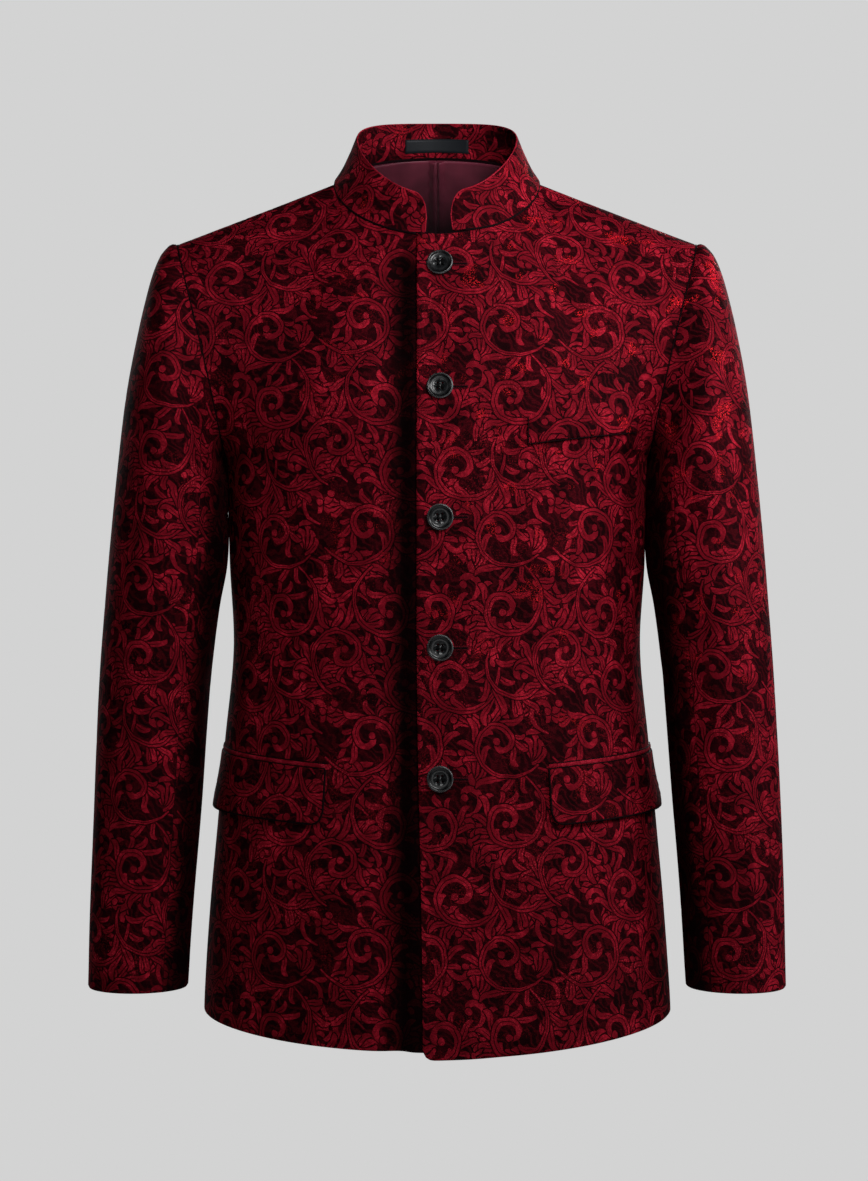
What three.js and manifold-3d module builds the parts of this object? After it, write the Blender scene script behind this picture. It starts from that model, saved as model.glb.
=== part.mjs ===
// A nehru jacket: a hip-length tailored jacket with a standing band collar, five buttons down the front,
// a chest welt pocket and two flap pockets. It keeps the hollow form that it has on a wearer, with the neck,
// the hem and both cuffs open and the sleeves hanging just clear of the sides.
//
// Millimetres. +Z is up, the jacket's front faces -Y and +X is the wearer's left. The origin is in the middle
// of the neck, level with the two points where the shoulder seams meet the collar.
//
// Every cloth piece is cut as a net of points on the garment's surface, with rows going up and columns going
// from the centre line to the side, and is then thickened inwards into a closed wall.
import * as THREE from "three";
import { mergeVertices } from "three/addons/utils/BufferGeometryUtils.js";
import Module from "manifold-3d";

// ---------------------------------------------------------------- sizes
const CLOTH = 2.4; // velvet with its interlining
const COLLAR_CLOTH = 2.8;
const LINING_CLOTH = 1.0;
const SEAM_GAP = 0.3; // between neighbouring pieces
const LAID_GAP = 0.3; // between a panel and what lies on it
const COLLAR_SEAM = 0.55; // more room at the collar's seam, which is a curve on curved cloth

const SIDE_Y = 8; // the side seams' depth
const UNDERARM_Z = -240;
const HEM_Z = -718.5; // at the side seams
const HEM_DROP = 18; // the fronts' hem falls this much lower at the centre
const LAP_DROP = 6; // the upper front is this much longer there
const HEM_CORNER = 9; // radius of the fronts' lower corners

const FRONT_EDGE = 17; // the left front runs this far past the centre line
const EDGE_SWING = { by: 5, from: -380, to: -740 }; // and swings back by this much towards the hem
const UNDER_EDGE = 20;
const LAP_LIFT = 3.2; // the upper front lies this far out over the lower one
const LAP_FLAT = 24; // and comes down between these distances from the centre line
const LAP_END = 56;

const NECK = { halfWidth: 89, front: 77, back: 50, frontZ: -54.5, backZ: 29.5 };
const COLLAR_TOP = { halfWidth: 69.2, midY: 5, front: 62, back: 50, frontZ: -19, sideZ: 39, backZ: 60 };
const COLLAR_END = { right: 10.5, left: 13.5, cornerWide: 11, cornerTall: 15 };
const NECK_SHARE = 0.45; // the share of a panel's top edge that is neckline

const BUTTON = { radius: 11, thick: 3.6, rim: 1.6, dish: 1.1, hole: 1.05, holeAt: 2.1, x: 2.4, stand: 0.8 };
const BUTTON_Z = [-80, -185.5, -294, -402.5, -511];

const DART = { across: 0.404, halfWidth: 0.011, depth: 1.1, topZ: -262, bottomZ: -496 };
const FLAP = { frontX: 93, length: 152, z: -504, rise: 12, tall: 46, sideTaller: 2, thick: 2.2, flare: 3.4, corner: 10 };
const JET = { tall: 4.6, thick: 1.3 };
const CHEST_WELT = { x0: 75.5, x1: 168, z: -233, rise: 12, tall: 22, thick: 1.3, gap: 0.55 };
const LABEL = { width: 58, bottom: 0.16, top: 0.56, thick: 0.5 };
const PLEAT = { halfWidth: 7, depth: 5 };

const FRONT = -1;
const BACK = 1;
const LEFT = 1;
const RIGHT = -1;

// ---------------------------------------------------------------- tables
const table = (columns, rows) => rows.map((row) => Object.fromEntries(columns.map((name, i) => [name, row[i]])));

// Level sections of the trunk, with their depths in front of and behind the side seams.
const SECTIONS = table(
  ["z", "halfWidth", "front", "back", "square"],
  [
    [-745, 203.5, 133, 119, 2.3],
    [-700, 202, 132, 119, 2.3],
    [-620, 196.7, 129, 120, 2.3],
    [-555, 190.7, 125, 115, 2.3],
    [-486, 184.2, 121, 105, 2.3],
    [-405, 177, 116, 95, 2.3],
    [-330, 180.6, 118, 100, 2.32],
    [-240, 183, 120, 112, 2.35],
    [-190, 186, 121, 116, 2.35],
  ],
);

// Rings of the sleeve. Each lies in the plane through its outer and its inner point that holds the Y direction.
const SLEEVE_RINGS = table(
  ["outX", "outZ", "inX", "inZ", "midY", "front", "back", "bowFront", "bowBack", "sag"],
  [
    [225.5, -53.8, 183, -240, 6, 70, 66, 7, 3, 12],
    [230.5, -54.4, 184, -242.5, 5, 71.5, 67.5, 4, 1.5, 11],
    [238.5, -61, 184.2, -246, 3.5, 74.5, 70, 0, 0, 9],
    [245.3, -76, 184, -250, 1, 77, 72, -2, -2, 7],
    [251.5, -98, 183.6, -256, -2, 78.5, 73, -2, -2, 5],
    [259.2, -133, 182.8, -266, -6, 79, 73, -1, -1, 3],
    [268, -184, 181.4, -284, -11, 77, 71.5, 0, 0, 1],
    [275.6, -252, 180.2, -308, -16, 74, 69.5, 0, 0, 0],
    [282.1, -318, 182, -336, -18, 71, 67.5, 0, 0, 0],
    [286.2, -370, 188.2, -370, -19, 68, 65.5, 0, 0, 0],
    [289.8, -422, 194.2, -422, -20, 65, 64, 0, 0, 0],
    [292.6, -478, 198.6, -478, -22, 61.5, 60.5, 0, 0, 0],
    [295, -540, 202.8, -540, -25, 58, 57, 0, 0, 0],
    [297.4, -619, 208.6, -619, -30, 53.5, 53, 0, 0, 0],
    [298.6, -693.6, 213.4, -693.6, -36, 49, 49, 0, 0, 0],
  ],
);

// ---------------------------------------------------------------- small helpers
const V = (x, y, z) => new THREE.Vector3(x, y, z);
const lerp = (a, b, t) => a + (b - a) * t;
const clamp01 = (t) => Math.min(1, Math.max(0, t));
const ease = (t) => clamp01(t) ** 2 * (3 - 2 * clamp01(t));
const spaced = (from, to, steps) => Array.from({ length: steps + 1 }, (_, i) => lerp(from, to, i / steps));

// A smooth curve through values at uneven places, for one column of a table.
function smooth(places, values, at) {
  const last = places.length - 1;
  const sign = Math.sign(places[last] - places[0]);
  let i = 0;
  while (i < last - 1 && sign * (at - places[i + 1]) > 0) i++;
  const slope = (k) => {
    const [a, b] = [Math.max(0, k - 1), Math.min(last, k + 1)];
    return (values[b] - values[a]) / (places[b] - places[a]);
  };
  const span = places[i + 1] - places[i];
  return hermite(values[i], slope(i) * span, values[i + 1], slope(i + 1) * span, (at - places[i]) / span);
}

function hermite(p0, m0, p1, m1, t) {
  const [t2, t3] = [t * t, t * t * t];
  return (2 * t3 - 3 * t2 + 1) * p0 + (t3 - 2 * t2 + t) * m0 + (3 * t2 - 2 * t3) * p1 + (t3 - t2) * m1;
}

const hermiteVector = (p0, m0, p1, m1, t) =>
  V(...["x", "y", "z"].map((axis) => hermite(p0[axis], m0[axis], p1[axis], m1[axis], t)));

const sectionAt = (z) =>
  Object.fromEntries(
    Object.keys(SECTIONS[0]).map((key) => [
      key,
      key === "z" ? z : smooth(SECTIONS.map((row) => row.z), SECTIONS.map((row) => row[key]), z),
    ]),
  );

// ---------------------------------------------------------------- the garment's surface
// The trunk below the underarm: across runs from 0 at the centre line to 1 at the side seam.
function trunk(face, across, z) {
  const { halfWidth, front, back, square } = sectionAt(z);
  const [sin, cos] = [Math.sin((across * Math.PI) / 2), Math.cos((across * Math.PI) / 2)];
  const reach = (sin ** square + Math.abs(cos) ** square) ** (-1 / square);
  return V(halfWidth * reach * sin, SIDE_Y + (face === FRONT ? -front : back) * reach * cos, z);
}

// The neckline, with turn 0 at the centre back, 90 at the shoulder seam and 180 at the centre front.
function neckline(turn) {
  const [sin, cos] = [Math.sin((turn * Math.PI) / 180), Math.cos((turn * Math.PI) / 180)];
  const dy = (cos > 0 ? NECK.back : NECK.front) * cos;
  return V(NECK.halfWidth * sin, SIDE_Y + dy, tilted(dy, NECK.back, NECK.backZ, -NECK.front, NECK.frontZ));
}

// A parabola through the origin and two more points.
function tilted(at, a, za, b, zb) {
  const bend = (za / a - zb / b) / (a - b);
  return (za / a - bend * a) * at + bend * at * at;
}

// The armhole: turn 0 at the shoulder, 90 at the front, 180 under the arm and 270 at the back.
const armhole = (turn) => sleeve(turn, 0);

// The sleeve's surface: down runs from 0 at the armhole to 1 at the cuff.
function sleeve(turn, down) {
  const at = down * (SLEEVE_RINGS.length - 1);
  const places = SLEEVE_RINGS.map((_, i) => i);
  const ring = (key) => smooth(places, SLEEVE_RINGS.map((row) => row[key]), at);
  const [sin, cos] = [Math.sin((turn * Math.PI) / 180), Math.cos((turn * Math.PI) / 180)];
  const bow = sin > 0 ? ring("bowFront") : ring("bowBack");
  return V(
    lerp(ring("inX"), ring("outX"), (1 + cos) / 2) - bow * sin * sin,
    ring("midY") - (sin > 0 ? ring("front") : ring("back")) * sin,
    lerp(ring("inZ"), ring("outZ"), (1 + cos) / 2) - ring("sag") * sin * sin,
  );
}

function topEdge(face, across) {
  if (across <= NECK_SHARE) {
    const quarter = (90 * across) / NECK_SHARE;
    return neckline(face === FRONT ? 180 - quarter : quarter);
  }
  return neckline(90).lerp(armhole(0), (across - NECK_SHARE) / (1 - NECK_SHARE));
}

// How the cloth runs into its top edge: steep at the centre, and rolling over the shoulder.
function topSlope(face, across) {
  const [centre, neckSide, shoulder] =
    face === FRONT
      ? [V(0, 60, 185), V(-25, 105, 95), V(25, 115, 30)]
      : [V(0, -200, 230), V(-25, -170, 110), V(25, -150, 35)];
  return across <= NECK_SHARE
    ? centre.lerp(neckSide, across / NECK_SHARE)
    : neckSide.lerp(shoulder, (across - NECK_SHARE) / (1 - NECK_SHARE));
}

// Above the underarm: up runs from 0 at the underarm to 1 at the neckline and the shoulder seam.
function yoke(face, across, up) {
  const column = (at, t) => {
    const [low, top] = [trunk(face, at, UNDERARM_Z), topEdge(face, at)];
    const rise = (top.z - UNDERARM_Z) / 10;
    const start = trunk(face, at, UNDERARM_Z + 5).sub(trunk(face, at, UNDERARM_Z - 5)).multiplyScalar(rise);
    return hermiteVector(low, start, top, topSlope(face, at), t);
  };
  const side = armhole(face === FRONT ? 180 * (1 - up) : 180 * (1 + up)).sub(column(1, up));
  return column(across, up).addScaledVector(side, across ** 1.5);
}

const hemZ = (face, side, across) => {
  if (face === BACK) return HEM_Z;
  const x = trunk(face, Math.abs(across), HEM_Z).x / trunk(face, 1, HEM_Z).x;
  const lap = side === LEFT ? LAP_DROP * (1 - Math.abs(across)) ** 1.2 : 0;
  return HEM_Z - HEM_DROP * (1 - x * x) ** 0.8 - lap;
};

// The whole panel on the wearer's left: up runs from 0 at the hem to 1 at the underarm and 2 at the top edge.
// A front goes on past the centre line, where across is negative.
function garment(face, side, across, up) {
  const at = Math.abs(across);
  const lowest = hemZ(face, side, across);
  const point = up > 1 ? yoke(face, at, up - 1) : trunk(face, at, lerp(lowest, UNDERARM_Z, up));
  if (across < 0) point.x = -point.x;
  return point;
}

function normalAt(face, side, across, up) {
  const step = 1e-3;
  const [u, v] = [Math.min(across, 1 - step), Math.min(Math.max(up, step), 2 - step)];
  const along = garment(face, side, u + step, v).sub(garment(face, side, u - step, v));
  const rise = garment(face, side, u, v + step).sub(garment(face, side, u, v - step));
  return (face === FRONT ? along.cross(rise) : rise.cross(along)).normalize();
}

const lapLift = (side, x) => (side === LEFT ? LAP_LIFT * (1 - ease((x - LAP_FLAT) / (LAP_END - LAP_FLAT))) : 0);

// The place on the left half's front that has a given x and z, as { across, up }.
function placeOnFront(side, x, z) {
  let [across, up] = [x / 200, z > UNDERARM_Z ? 1 + (z - UNDERARM_Z) / 200 : (z - HEM_Z) / (UNDERARM_Z - HEM_Z)];
  const step = 1e-3;
  for (let i = 0; i < 12; i++) {
    const here = garment(FRONT, side, across, up);
    const du = garment(FRONT, side, across + step, up).sub(here).divideScalar(step);
    const dv = garment(FRONT, side, across, up + step).sub(here).divideScalar(step);
    const [ex, ez, det] = [x - here.x, z - here.z, du.x * dv.z - dv.x * du.z];
    across += (ex * dv.z - ez * dv.x) / det;
    up += (ez * du.x - ex * du.z) / det;
  }
  return { across, up };
}

// A point that far out from the front, with the outward direction there.
function onFront(side, x, z) {
  const { across, up } = placeOnFront(side, x, z);
  const n = normalAt(FRONT, side, across, up);
  return { p: garment(FRONT, side, across, up).addScaledVector(n, lapLift(side, x)), n };
}

// ---------------------------------------------------------------- nets and walls
// A net is an array of rows, each an array of { p, n }: a point and the outward direction there.
const net = (rows, columns, place) => rows.map((row) => columns.map((column) => place(column, row)));

const mirrored = (grid) => grid.map((row) => row.map(({ p, n }) => ({ p: V(-p.x, p.y, p.z), n: V(-n.x, n.y, n.z) })));

// Gives each point the mean direction of the faces round it, in the nets that meet there at less than a right angle.
function shareNormals(nets) {
  const met = new Map();
  for (const grid of nets) {
    const own = grid.map((row) => row.map(() => V(0, 0, 0)));
    for (let j = 0; j + 1 < grid.length; j++)
      for (let i = 0; i + 1 < grid[0].length; i++) {
        const diagonal = grid[j + 1][i + 1].p.clone().sub(grid[j][i].p);
        const face = diagonal.cross(grid[j + 1][i].p.clone().sub(grid[j][i + 1].p));
        if (face.dot(grid[j][i].n) < 0) face.negate();
        for (const [a, b] of [[j, i], [j, i + 1], [j + 1, i], [j + 1, i + 1]]) own[a][b].add(face);
      }
    grid.forEach((row, j) =>
      row.forEach((knot, i) => {
        knot.n = own[j][i].normalize();
        const key = knot.p.toArray().map((c) => Math.round(c * 50)).join();
        met.set(key, [...(met.get(key) ?? []), knot]);
      }),
    );
  }
  for (const knots of met.values()) {
    const means = knots.map((knot) =>
      knots.reduce((sum, other) => (knot.n.dot(other.n) > 0 ? sum.add(other.n) : sum), V(0, 0, 0)).normalize(),
    );
    knots.forEach((knot, i) => (knot.n = means[i]));
  }
}

// The net with its border drawn in, so that neighbouring pieces stay apart.
function trimmed(grid, inset) {
  const [rows, columns] = [grid.length - 1, grid[0].length - 1];
  return grid.map((row, j) =>
    row.map(({ p, n }, i) => {
      const moved = p.clone();
      const towards = (other) => moved.add(other.p.clone().sub(p).setLength(inset));
      if (j === 0) towards(grid[1][i]);
      if (j === rows) towards(grid[rows - 1][i]);
      if (i === 0) towards(row[1]);
      if (i === columns) towards(row[columns - 1]);
      return { p: moved, n };
    }),
  );
}

// A closed wall between two distances out from a net. Each may be a number, or worked out from a column and row.
function wallGeometry(grid, inner, outer) {
  const [rows, columns] = [grid.length, grid[0].length];
  const distance = (d, i, j) => (typeof d === "function" ? d(i, j) : d);
  const points = [outer, inner].flatMap((d) =>
    grid.flatMap((row, j) => row.map(({ p, n }, i) => p.clone().addScaledVector(n, distance(d, i, j)))),
  );
  const at = (layer, j, i) => (layer * rows + j) * columns + i;
  const faces = [];
  const quad = (a, b, c, d) => {
    const even = points[a].distanceTo(points[c]) < points[b].distanceTo(points[d]);
    faces.push(...(even ? [a, b, c, a, c, d] : [a, b, d, b, c, d]));
  };
  for (let j = 0; j + 1 < rows; j++)
    for (let i = 0; i + 1 < columns; i++) {
      quad(at(0, j, i), at(0, j, i + 1), at(0, j + 1, i + 1), at(0, j + 1, i));
      quad(at(1, j, i), at(1, j + 1, i), at(1, j + 1, i + 1), at(1, j, i + 1));
    }
  for (let i = 0; i + 1 < columns; i++) {
    quad(at(0, 0, i), at(1, 0, i), at(1, 0, i + 1), at(0, 0, i + 1));
    quad(at(0, rows - 1, i), at(0, rows - 1, i + 1), at(1, rows - 1, i + 1), at(1, rows - 1, i));
  }
  for (let j = 0; j + 1 < rows; j++) {
    quad(at(0, j, 0), at(0, j + 1, 0), at(1, j + 1, 0), at(1, j, 0));
    quad(at(0, j, columns - 1), at(1, j, columns - 1), at(1, j + 1, columns - 1), at(0, j + 1, columns - 1));
  }
  const volume = faces.reduce((sum, _, k) => {
    if (k % 3) return sum;
    return sum + points[faces[k]].dot(points[faces[k + 1]].clone().cross(points[faces[k + 2]]));
  }, 0);
  if (volume < 0) faces.reverse();
  const geometry = new THREE.BufferGeometry().setFromPoints(points);
  geometry.setIndex(faces);
  geometry.computeVertexNormals();
  return geometry;
}

// ---------------------------------------------------------------- materials
const VELVET = new THREE.MeshStandardMaterial({ name: "velvet", color: 0x5c0a14, roughness: 0.85, metalness: 0 });
const SATIN = new THREE.MeshStandardMaterial({ name: "lining", color: 0x3a1219, roughness: 0.4, metalness: 0 });
const HORN = new THREE.MeshStandardMaterial({ name: "button", color: 0x0c0c0d, roughness: 0.3, metalness: 0 });
const RIBBON = new THREE.MeshStandardMaterial({ name: "label", color: 0x101317, roughness: 0.55, metalness: 0 });

const jacket = new THREE.Group();
jacket.name = "nehru_jacket";

function add(name, geometry, material) {
  const mesh = new THREE.Mesh(geometry, material);
  mesh.name = name;
  jacket.add(mesh);
  return mesh;
}

const addWall = (name, grid, inner, outer, material = VELVET) => add(name, wallGeometry(grid, inner, outer), material);

// ---------------------------------------------------------------- fronts and backs
const SHOULDER_COLUMNS = spaced(NECK_SHARE, 1, 7).slice(1);
const DART_COLUMNS = [DART.across - DART.halfWidth, DART.across, DART.across + DART.halfWidth];
const FRONT_COLUMNS = [0, 0.045, 0.08, 0.125, 0.185, 0.25, 0.325, ...DART_COLUMNS, NECK_SHARE, ...SHOULDER_COLUMNS];
const BACK_COLUMNS = [...spaced(0, NECK_SHARE, 5), ...SHOULDER_COLUMNS];
const YOKE_ROWS = 10;
const ROWS = [...spaced(0, 1, 12), ...spaced(1, 2, YOKE_ROWS).slice(1)];

// Where a row of a front has a given x, close to the centre line.
function acrossAt(side, x, up) {
  let [low, high] = [0, 0.3];
  for (let i = 0; i < 24; i++) {
    const middle = (low + high) / 2;
    if (garment(FRONT, side, middle, up).x < Math.abs(x)) low = middle;
    else high = middle;
  }
  return Math.sign(x) * low;
}

// A front's columns start at its own edge, past the centre line, and its lower corner there is rounded.
function frontNet(side) {
  const columns = [0, 2.6, HEM_CORNER, HEM_CORNER + 4].map((fromEdge) => ({ fromEdge }));
  columns.push(...FRONT_COLUMNS.slice(1).map((across) => ({ across })));
  return net(ROWS, columns, (column, up) => {
    const height = garment(FRONT, side, 0, up).z;
    const swing = EDGE_SWING.by * ease((height - EDGE_SWING.from) / (EDGE_SWING.to - EDGE_SWING.from));
    const edge = side === LEFT ? FRONT_EDGE - swing : UNDER_EDGE;
    const at = column.across ?? acrossAt(side, column.fromEdge - edge, up);
    const p = garment(FRONT, side, at, up);
    const fromEdge = edge + p.x;
    if (fromEdge < HEM_CORNER && up < 1) {
      const rise = HEM_CORNER - Math.sqrt(HEM_CORNER ** 2 - (HEM_CORNER - Math.max(0, fromEdge)) ** 2);
      p.z += rise * (1 - up) ** 3;
    }
    const n = normalAt(FRONT, side, at, up);
    const inDart = Math.abs(at - DART.across) < 1e-6 && p.z < DART.topZ && p.z > DART.bottomZ;
    p.addScaledVector(n, lapLift(side, p.x) - (inDart ? DART.depth : 0));
    return { p, n };
  });
}

const backNet = () =>
  net(ROWS, BACK_COLUMNS, (across, up) => ({
    p: garment(BACK, LEFT, across, up),
    n: normalAt(BACK, LEFT, across, up),
  }));

// ---------------------------------------------------------------- sleeves
const TURN_STEP = 180 / YOKE_ROWS;
const TOP_SLEEVE_TURNS = spaced(-6 * TURN_STEP, 7 * TURN_STEP, 13);
const UNDER_SLEEVE_TURNS = spaced(7 * TURN_STEP, 14 * TURN_STEP, 7);
const SLEEVE_ROWS = [...spaced(0, 1, SLEEVE_RINGS.length - 1)];

const sleeveNet = (turns) =>
  net(SLEEVE_ROWS, turns, (turn, down) => {
    const p = sleeve(turn, down);
    return { p, n: p.clone().sub(sleeve(0, down).lerp(sleeve(180, down), 0.5)) };
  });

// ---------------------------------------------------------------- collar
// A place on the collar: turn as on the neckline, and up from 0 at the seam to 1 at the top edge.
function collarPoint(turn, up) {
  const [sin, cos] = [Math.sin((turn * Math.PI) / 180), Math.cos((turn * Math.PI) / 180)];
  const { halfWidth, midY, front, back, frontZ, sideZ, backZ } = COLLAR_TOP;
  const dy = (cos > 0 ? back : front) * cos;
  const top = V(halfWidth * sin, midY + dy, sideZ + tilted(dy, back, backZ - sideZ, -front, frontZ - sideZ));
  const base = neckline(turn);
  // It leans in more at first and then stands up.
  const lean = up ** 0.75;
  return V(lerp(base.x, top.x, lean), lerp(base.y, top.y, lean), lerp(base.z, top.z, up));
}

// How high the collar stands near its rounded ends, as a share of its full height.
function collarHeight(fromEnd) {
  const { cornerWide, cornerTall } = COLLAR_END;
  const tall = COLLAR_TOP.frontZ - NECK.frontZ;
  const t = clamp01(fromEnd / cornerWide);
  return 1 - (cornerTall / tall) * (1 - Math.sqrt(1 - (1 - t) ** 2));
}

// The turn, from the centre back, where the collar's seam ends.
const endTurn = (x) => 180 - (Math.asin(x / NECK.halfWidth) * 180) / Math.PI;

// The collar's columns are the panels' own ones, with more of them where its ends are rounded.
const turnOf = (face, across) => (face === FRONT ? 180 - (90 * across) / NECK_SHARE : (90 * across) / NECK_SHARE);

const COLLAR_ROWS = [0, 0.35, 0.7, 1];

function collarTurns(end) {
  const seams = [
    ...BACK_COLUMNS.filter((across) => across <= NECK_SHARE).map((across) => turnOf(BACK, across)),
    ...FRONT_COLUMNS.filter((across) => across < NECK_SHARE).map((across) => turnOf(FRONT, across)).reverse(),
  ];
  const corner = [0, 0.7, 2, 4.2, 7];
  return [...seams.filter((turn) => turn < end - 7.5), ...corner.map((turn) => end - turn).reverse()];
}

// The outward direction halfway between the collar's own and the panel's, for the seam between them.
function collarNormal(turn, up) {
  const step = 0.01;
  const along = collarPoint(turn + step, up).sub(collarPoint(turn - step, up));
  return along.cross(collarPoint(turn, up + step).sub(collarPoint(turn, up))).negate().normalize();
}

function seamNormal(turn) {
  const away = Math.abs(turn);
  const face = away > 90 ? FRONT : BACK;
  const n = normalAt(face, RIGHT, (NECK_SHARE * (face === FRONT ? 180 - away : away)) / 90, 2);
  if (turn < 0) n.x = -n.x;
  return n.add(collarNormal(turn, 0)).normalize();
}

function collarNet() {
  const [right, left] = [endTurn(COLLAR_END.right), endTurn(COLLAR_END.left)];
  const turns = [...collarTurns(right).slice(1).map((turn) => -turn).reverse(), ...collarTurns(left)];
  return net(COLLAR_ROWS, turns, (turn, row) => {
    const fromEnd = ((turn < 0 ? right + turn : left - turn) * Math.PI * NECK.halfWidth) / 180;
    const up = row * collarHeight(fromEnd);
    const n = row === 0 ? seamNormal(turn) : collarNormal(turn, up);
    const p = collarPoint(turn, up);
    // It follows the left front out where that laps over the right one.
    const lift = turn > 0 && Math.abs(turn) > 90 ? lapLift(LEFT, neckline(turn).x) : 0;
    return { p: p.addScaledVector(n, lift), n, turn };
  });
}

// The panels' necklines take the same directions as the collar's seam.
function matchCollar(panel, face, hand) {
  const top = panel[panel.length - 1];
  const columns = face === FRONT ? FRONT_COLUMNS.slice(1) : BACK_COLUMNS;
  const first = top.length - columns.length;
  columns.forEach((across, i) => {
    if (across <= NECK_SHARE) top[first + i].n = seamNormal(hand * turnOf(face, across));
  });
}

// ---------------------------------------------------------------- pockets
// The flap's columns, as x and height: the side columns come back round to the side seam.
function frontArc(side, z, x0, length, steps) {
  const start = placeOnFront(side, x0, z);
  const places = [start.across];
  let [across, here] = [start.across, garment(FRONT, side, start.across, start.up)];
  const small = 0.002;
  for (let walked = 0, next = length / steps; places.length <= steps && across < 1.2; ) {
    across += small;
    const there = garment(FRONT, side, Math.min(across, 1), start.up);
    if (across > 1) break;
    walked += there.distanceTo(here);
    here = there;
    if (walked >= next) {
      places.push(across);
      next += length / steps;
    }
  }
  return places;
}

// A place on the trunk's front at a given column and height.
function onTrunk(side, across, z) {
  const up = (z - hemZ(FRONT, side, across)) / (UNDERARM_Z - hemZ(FRONT, side, across));
  return { p: garment(FRONT, side, across, up), n: normalAt(FRONT, side, across, up) };
}

function pocket(side) {
  const columns = frontArc(side, FLAP.z, FLAP.frontX, FLAP.length, 12);
  const first = columns[0];
  const span = columns[columns.length - 1] - first;
  const share = (across) => (across - first) / span;
  const mouth = (across) => FLAP.z + FLAP.rise * share(across);
  const cornerShare = FLAP.corner / FLAP.length;
  const tall = (across) => {
    const fromEnd = Math.min(share(across), 1 - share(across)) / cornerShare;
    const cut = fromEnd < 1 ? FLAP.corner * (1 - Math.sqrt(1 - (1 - fromEnd) ** 2)) : 0;
    return FLAP.tall + FLAP.sideTaller * share(across) - cut;
  };
  const ends = [0.12, 0.4].map((t) => t * cornerShare * span);
  const all = [first, first + ends[0], first + ends[1], ...columns.slice(1, -1)];
  all.push(first + span - ends[1], first + span - ends[0], first + span);
  const flap = net(spaced(0, 1, 4), all, (across, down) => onTrunk(side, across, mouth(across) - down * tall(across)));
  const flare = (i, j) => FLAP.flare * (j / 4) ** 1.5 * (0.55 + 0.45 * share(all[i]));
  const jet = net([0, 1], [first, ...columns.slice(1)], (across, up) =>
    onTrunk(side, across, mouth(across) + SEAM_GAP + up * JET.tall),
  );
  return {
    flap: { grid: flap, inner: (i, j) => LAID_GAP + flare(i, j), outer: (i, j) => LAID_GAP + FLAP.thick + flare(i, j) },
    jet: { grid: jet, inner: LAID_GAP, outer: LAID_GAP + JET.thick },
  };
}

function chestWeltNet() {
  const { x0, x1, z, rise, tall } = CHEST_WELT;
  return net([0, 0.5, 1], spaced(x0, x1, 8), (x, up) =>
    onFront(LEFT, x, z + (rise * (x - x0)) / (x1 - x0) + up * tall),
  );
}

// ---------------------------------------------------------------- lining and label
const blend = (a, b, t) => ({ p: a.p.clone().lerp(b.p, t), n: a.n.clone().lerp(b.n, t).normalize() });

// The back's lining hangs inside the backs, from their second row up, with a pleat's fold down its middle.
function liningNet(back) {
  return back.slice(1).map((row) => {
    const width = row[1].p.distanceTo(row[0].p);
    const fold = [row[0], blend(row[0], row[1], PLEAT.halfWidth / width)];
    const end = blend(row[row.length - 1], row[row.length - 2], 0.15);
    const left = [...fold, ...row.slice(1, -1), end];
    return [...mirrored([left.slice(1)])[0].reverse(), ...left];
  });
}

// Part of a net, between two rows and two columns that may fall between its own.
function cutOut(grid, rows, columns) {
  const pick = (list, at, mix) => {
    const i = Math.min(list.length - 2, Math.floor(at));
    return mix(list[i], list[i + 1], at - i);
  };
  const mixRows = (a, b, t) => a.map((knot, i) => blend(knot, b[i], t));
  return rows.map((row) => columns.map((column) => pick(pick(grid, row, mixRows), column, blend)));
}

// The label's rows and columns on the collar's net: every one of the collar's own between its edges.
function labelNet(grid) {
  const middle = grid[0].reduce((best, knot, i) => (Math.abs(knot.turn) < Math.abs(grid[0][best].turn) ? i : best), 0);
  const step = grid[1][middle + 1].p.distanceTo(grid[1][middle].p);
  const reach = LABEL.width / 2 / step;
  const inside = spaced(-Math.floor(reach), Math.floor(reach), 2 * Math.floor(reach));
  const columns = [-reach, ...inside, reach].map((at) => middle + at);
  return cutOut(grid, [LABEL.bottom / COLLAR_ROWS[1], 1, 1 + (LABEL.top - 0.35) / 0.35], columns);
}

// ---------------------------------------------------------------- buttons
const wasm = await Module();
wasm.setup();

function toManifold(geometry) {
  const bare = geometry.clone();
  bare.deleteAttribute("normal");
  bare.deleteAttribute("uv");
  const merged = mergeVertices(bare, 1e-4);
  const mesh = { numProp: 3, vertProperties: merged.attributes.position.array, triVerts: new Uint32Array(merged.index.array) };
  return new wasm.Manifold(new wasm.Mesh(mesh));
}

function fromManifold(solid) {
  const mesh = solid.getMesh();
  const geometry = new THREE.BufferGeometry();
  geometry.setAttribute("position", new THREE.BufferAttribute(new Float32Array(mesh.vertProperties), 3));
  geometry.setIndex(new THREE.BufferAttribute(new Uint32Array(mesh.triVerts), 1));
  geometry.computeVertexNormals();
  return geometry;
}

// A four-hole button lying in the XZ plane, with its face towards -Y and its back at y = 0.
function buttonGeometry() {
  const { radius, thick, rim, dish, hole, holeAt } = BUTTON;
  const profile = [
    [0, 0],
    [radius - 1.6, 0],
    [radius, 1.3],
    [radius, thick - 0.6],
    [radius - 0.7, thick],
    [radius - rim - 0.4, thick],
    [radius - rim - 1.2, thick - dish],
    [0, thick - dish - 0.25],
  ].map(([r, h]) => new THREE.Vector2(r, h));
  let disc = toManifold(new THREE.LatheGeometry([...profile, profile[0]], 20));
  if (disc.volume() < 0) throw new Error("the button's profile is reversed");
  for (const [x, z] of [[1, 1], [1, -1], [-1, 1], [-1, -1]]) {
    const drill = new THREE.CylinderGeometry(hole, hole, 4 * thick, 6).translate(x * holeAt, 0, z * holeAt);
    disc = disc.subtract(toManifold(drill));
  }
  return fromManifold(disc).rotateX(Math.PI);
}

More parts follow.
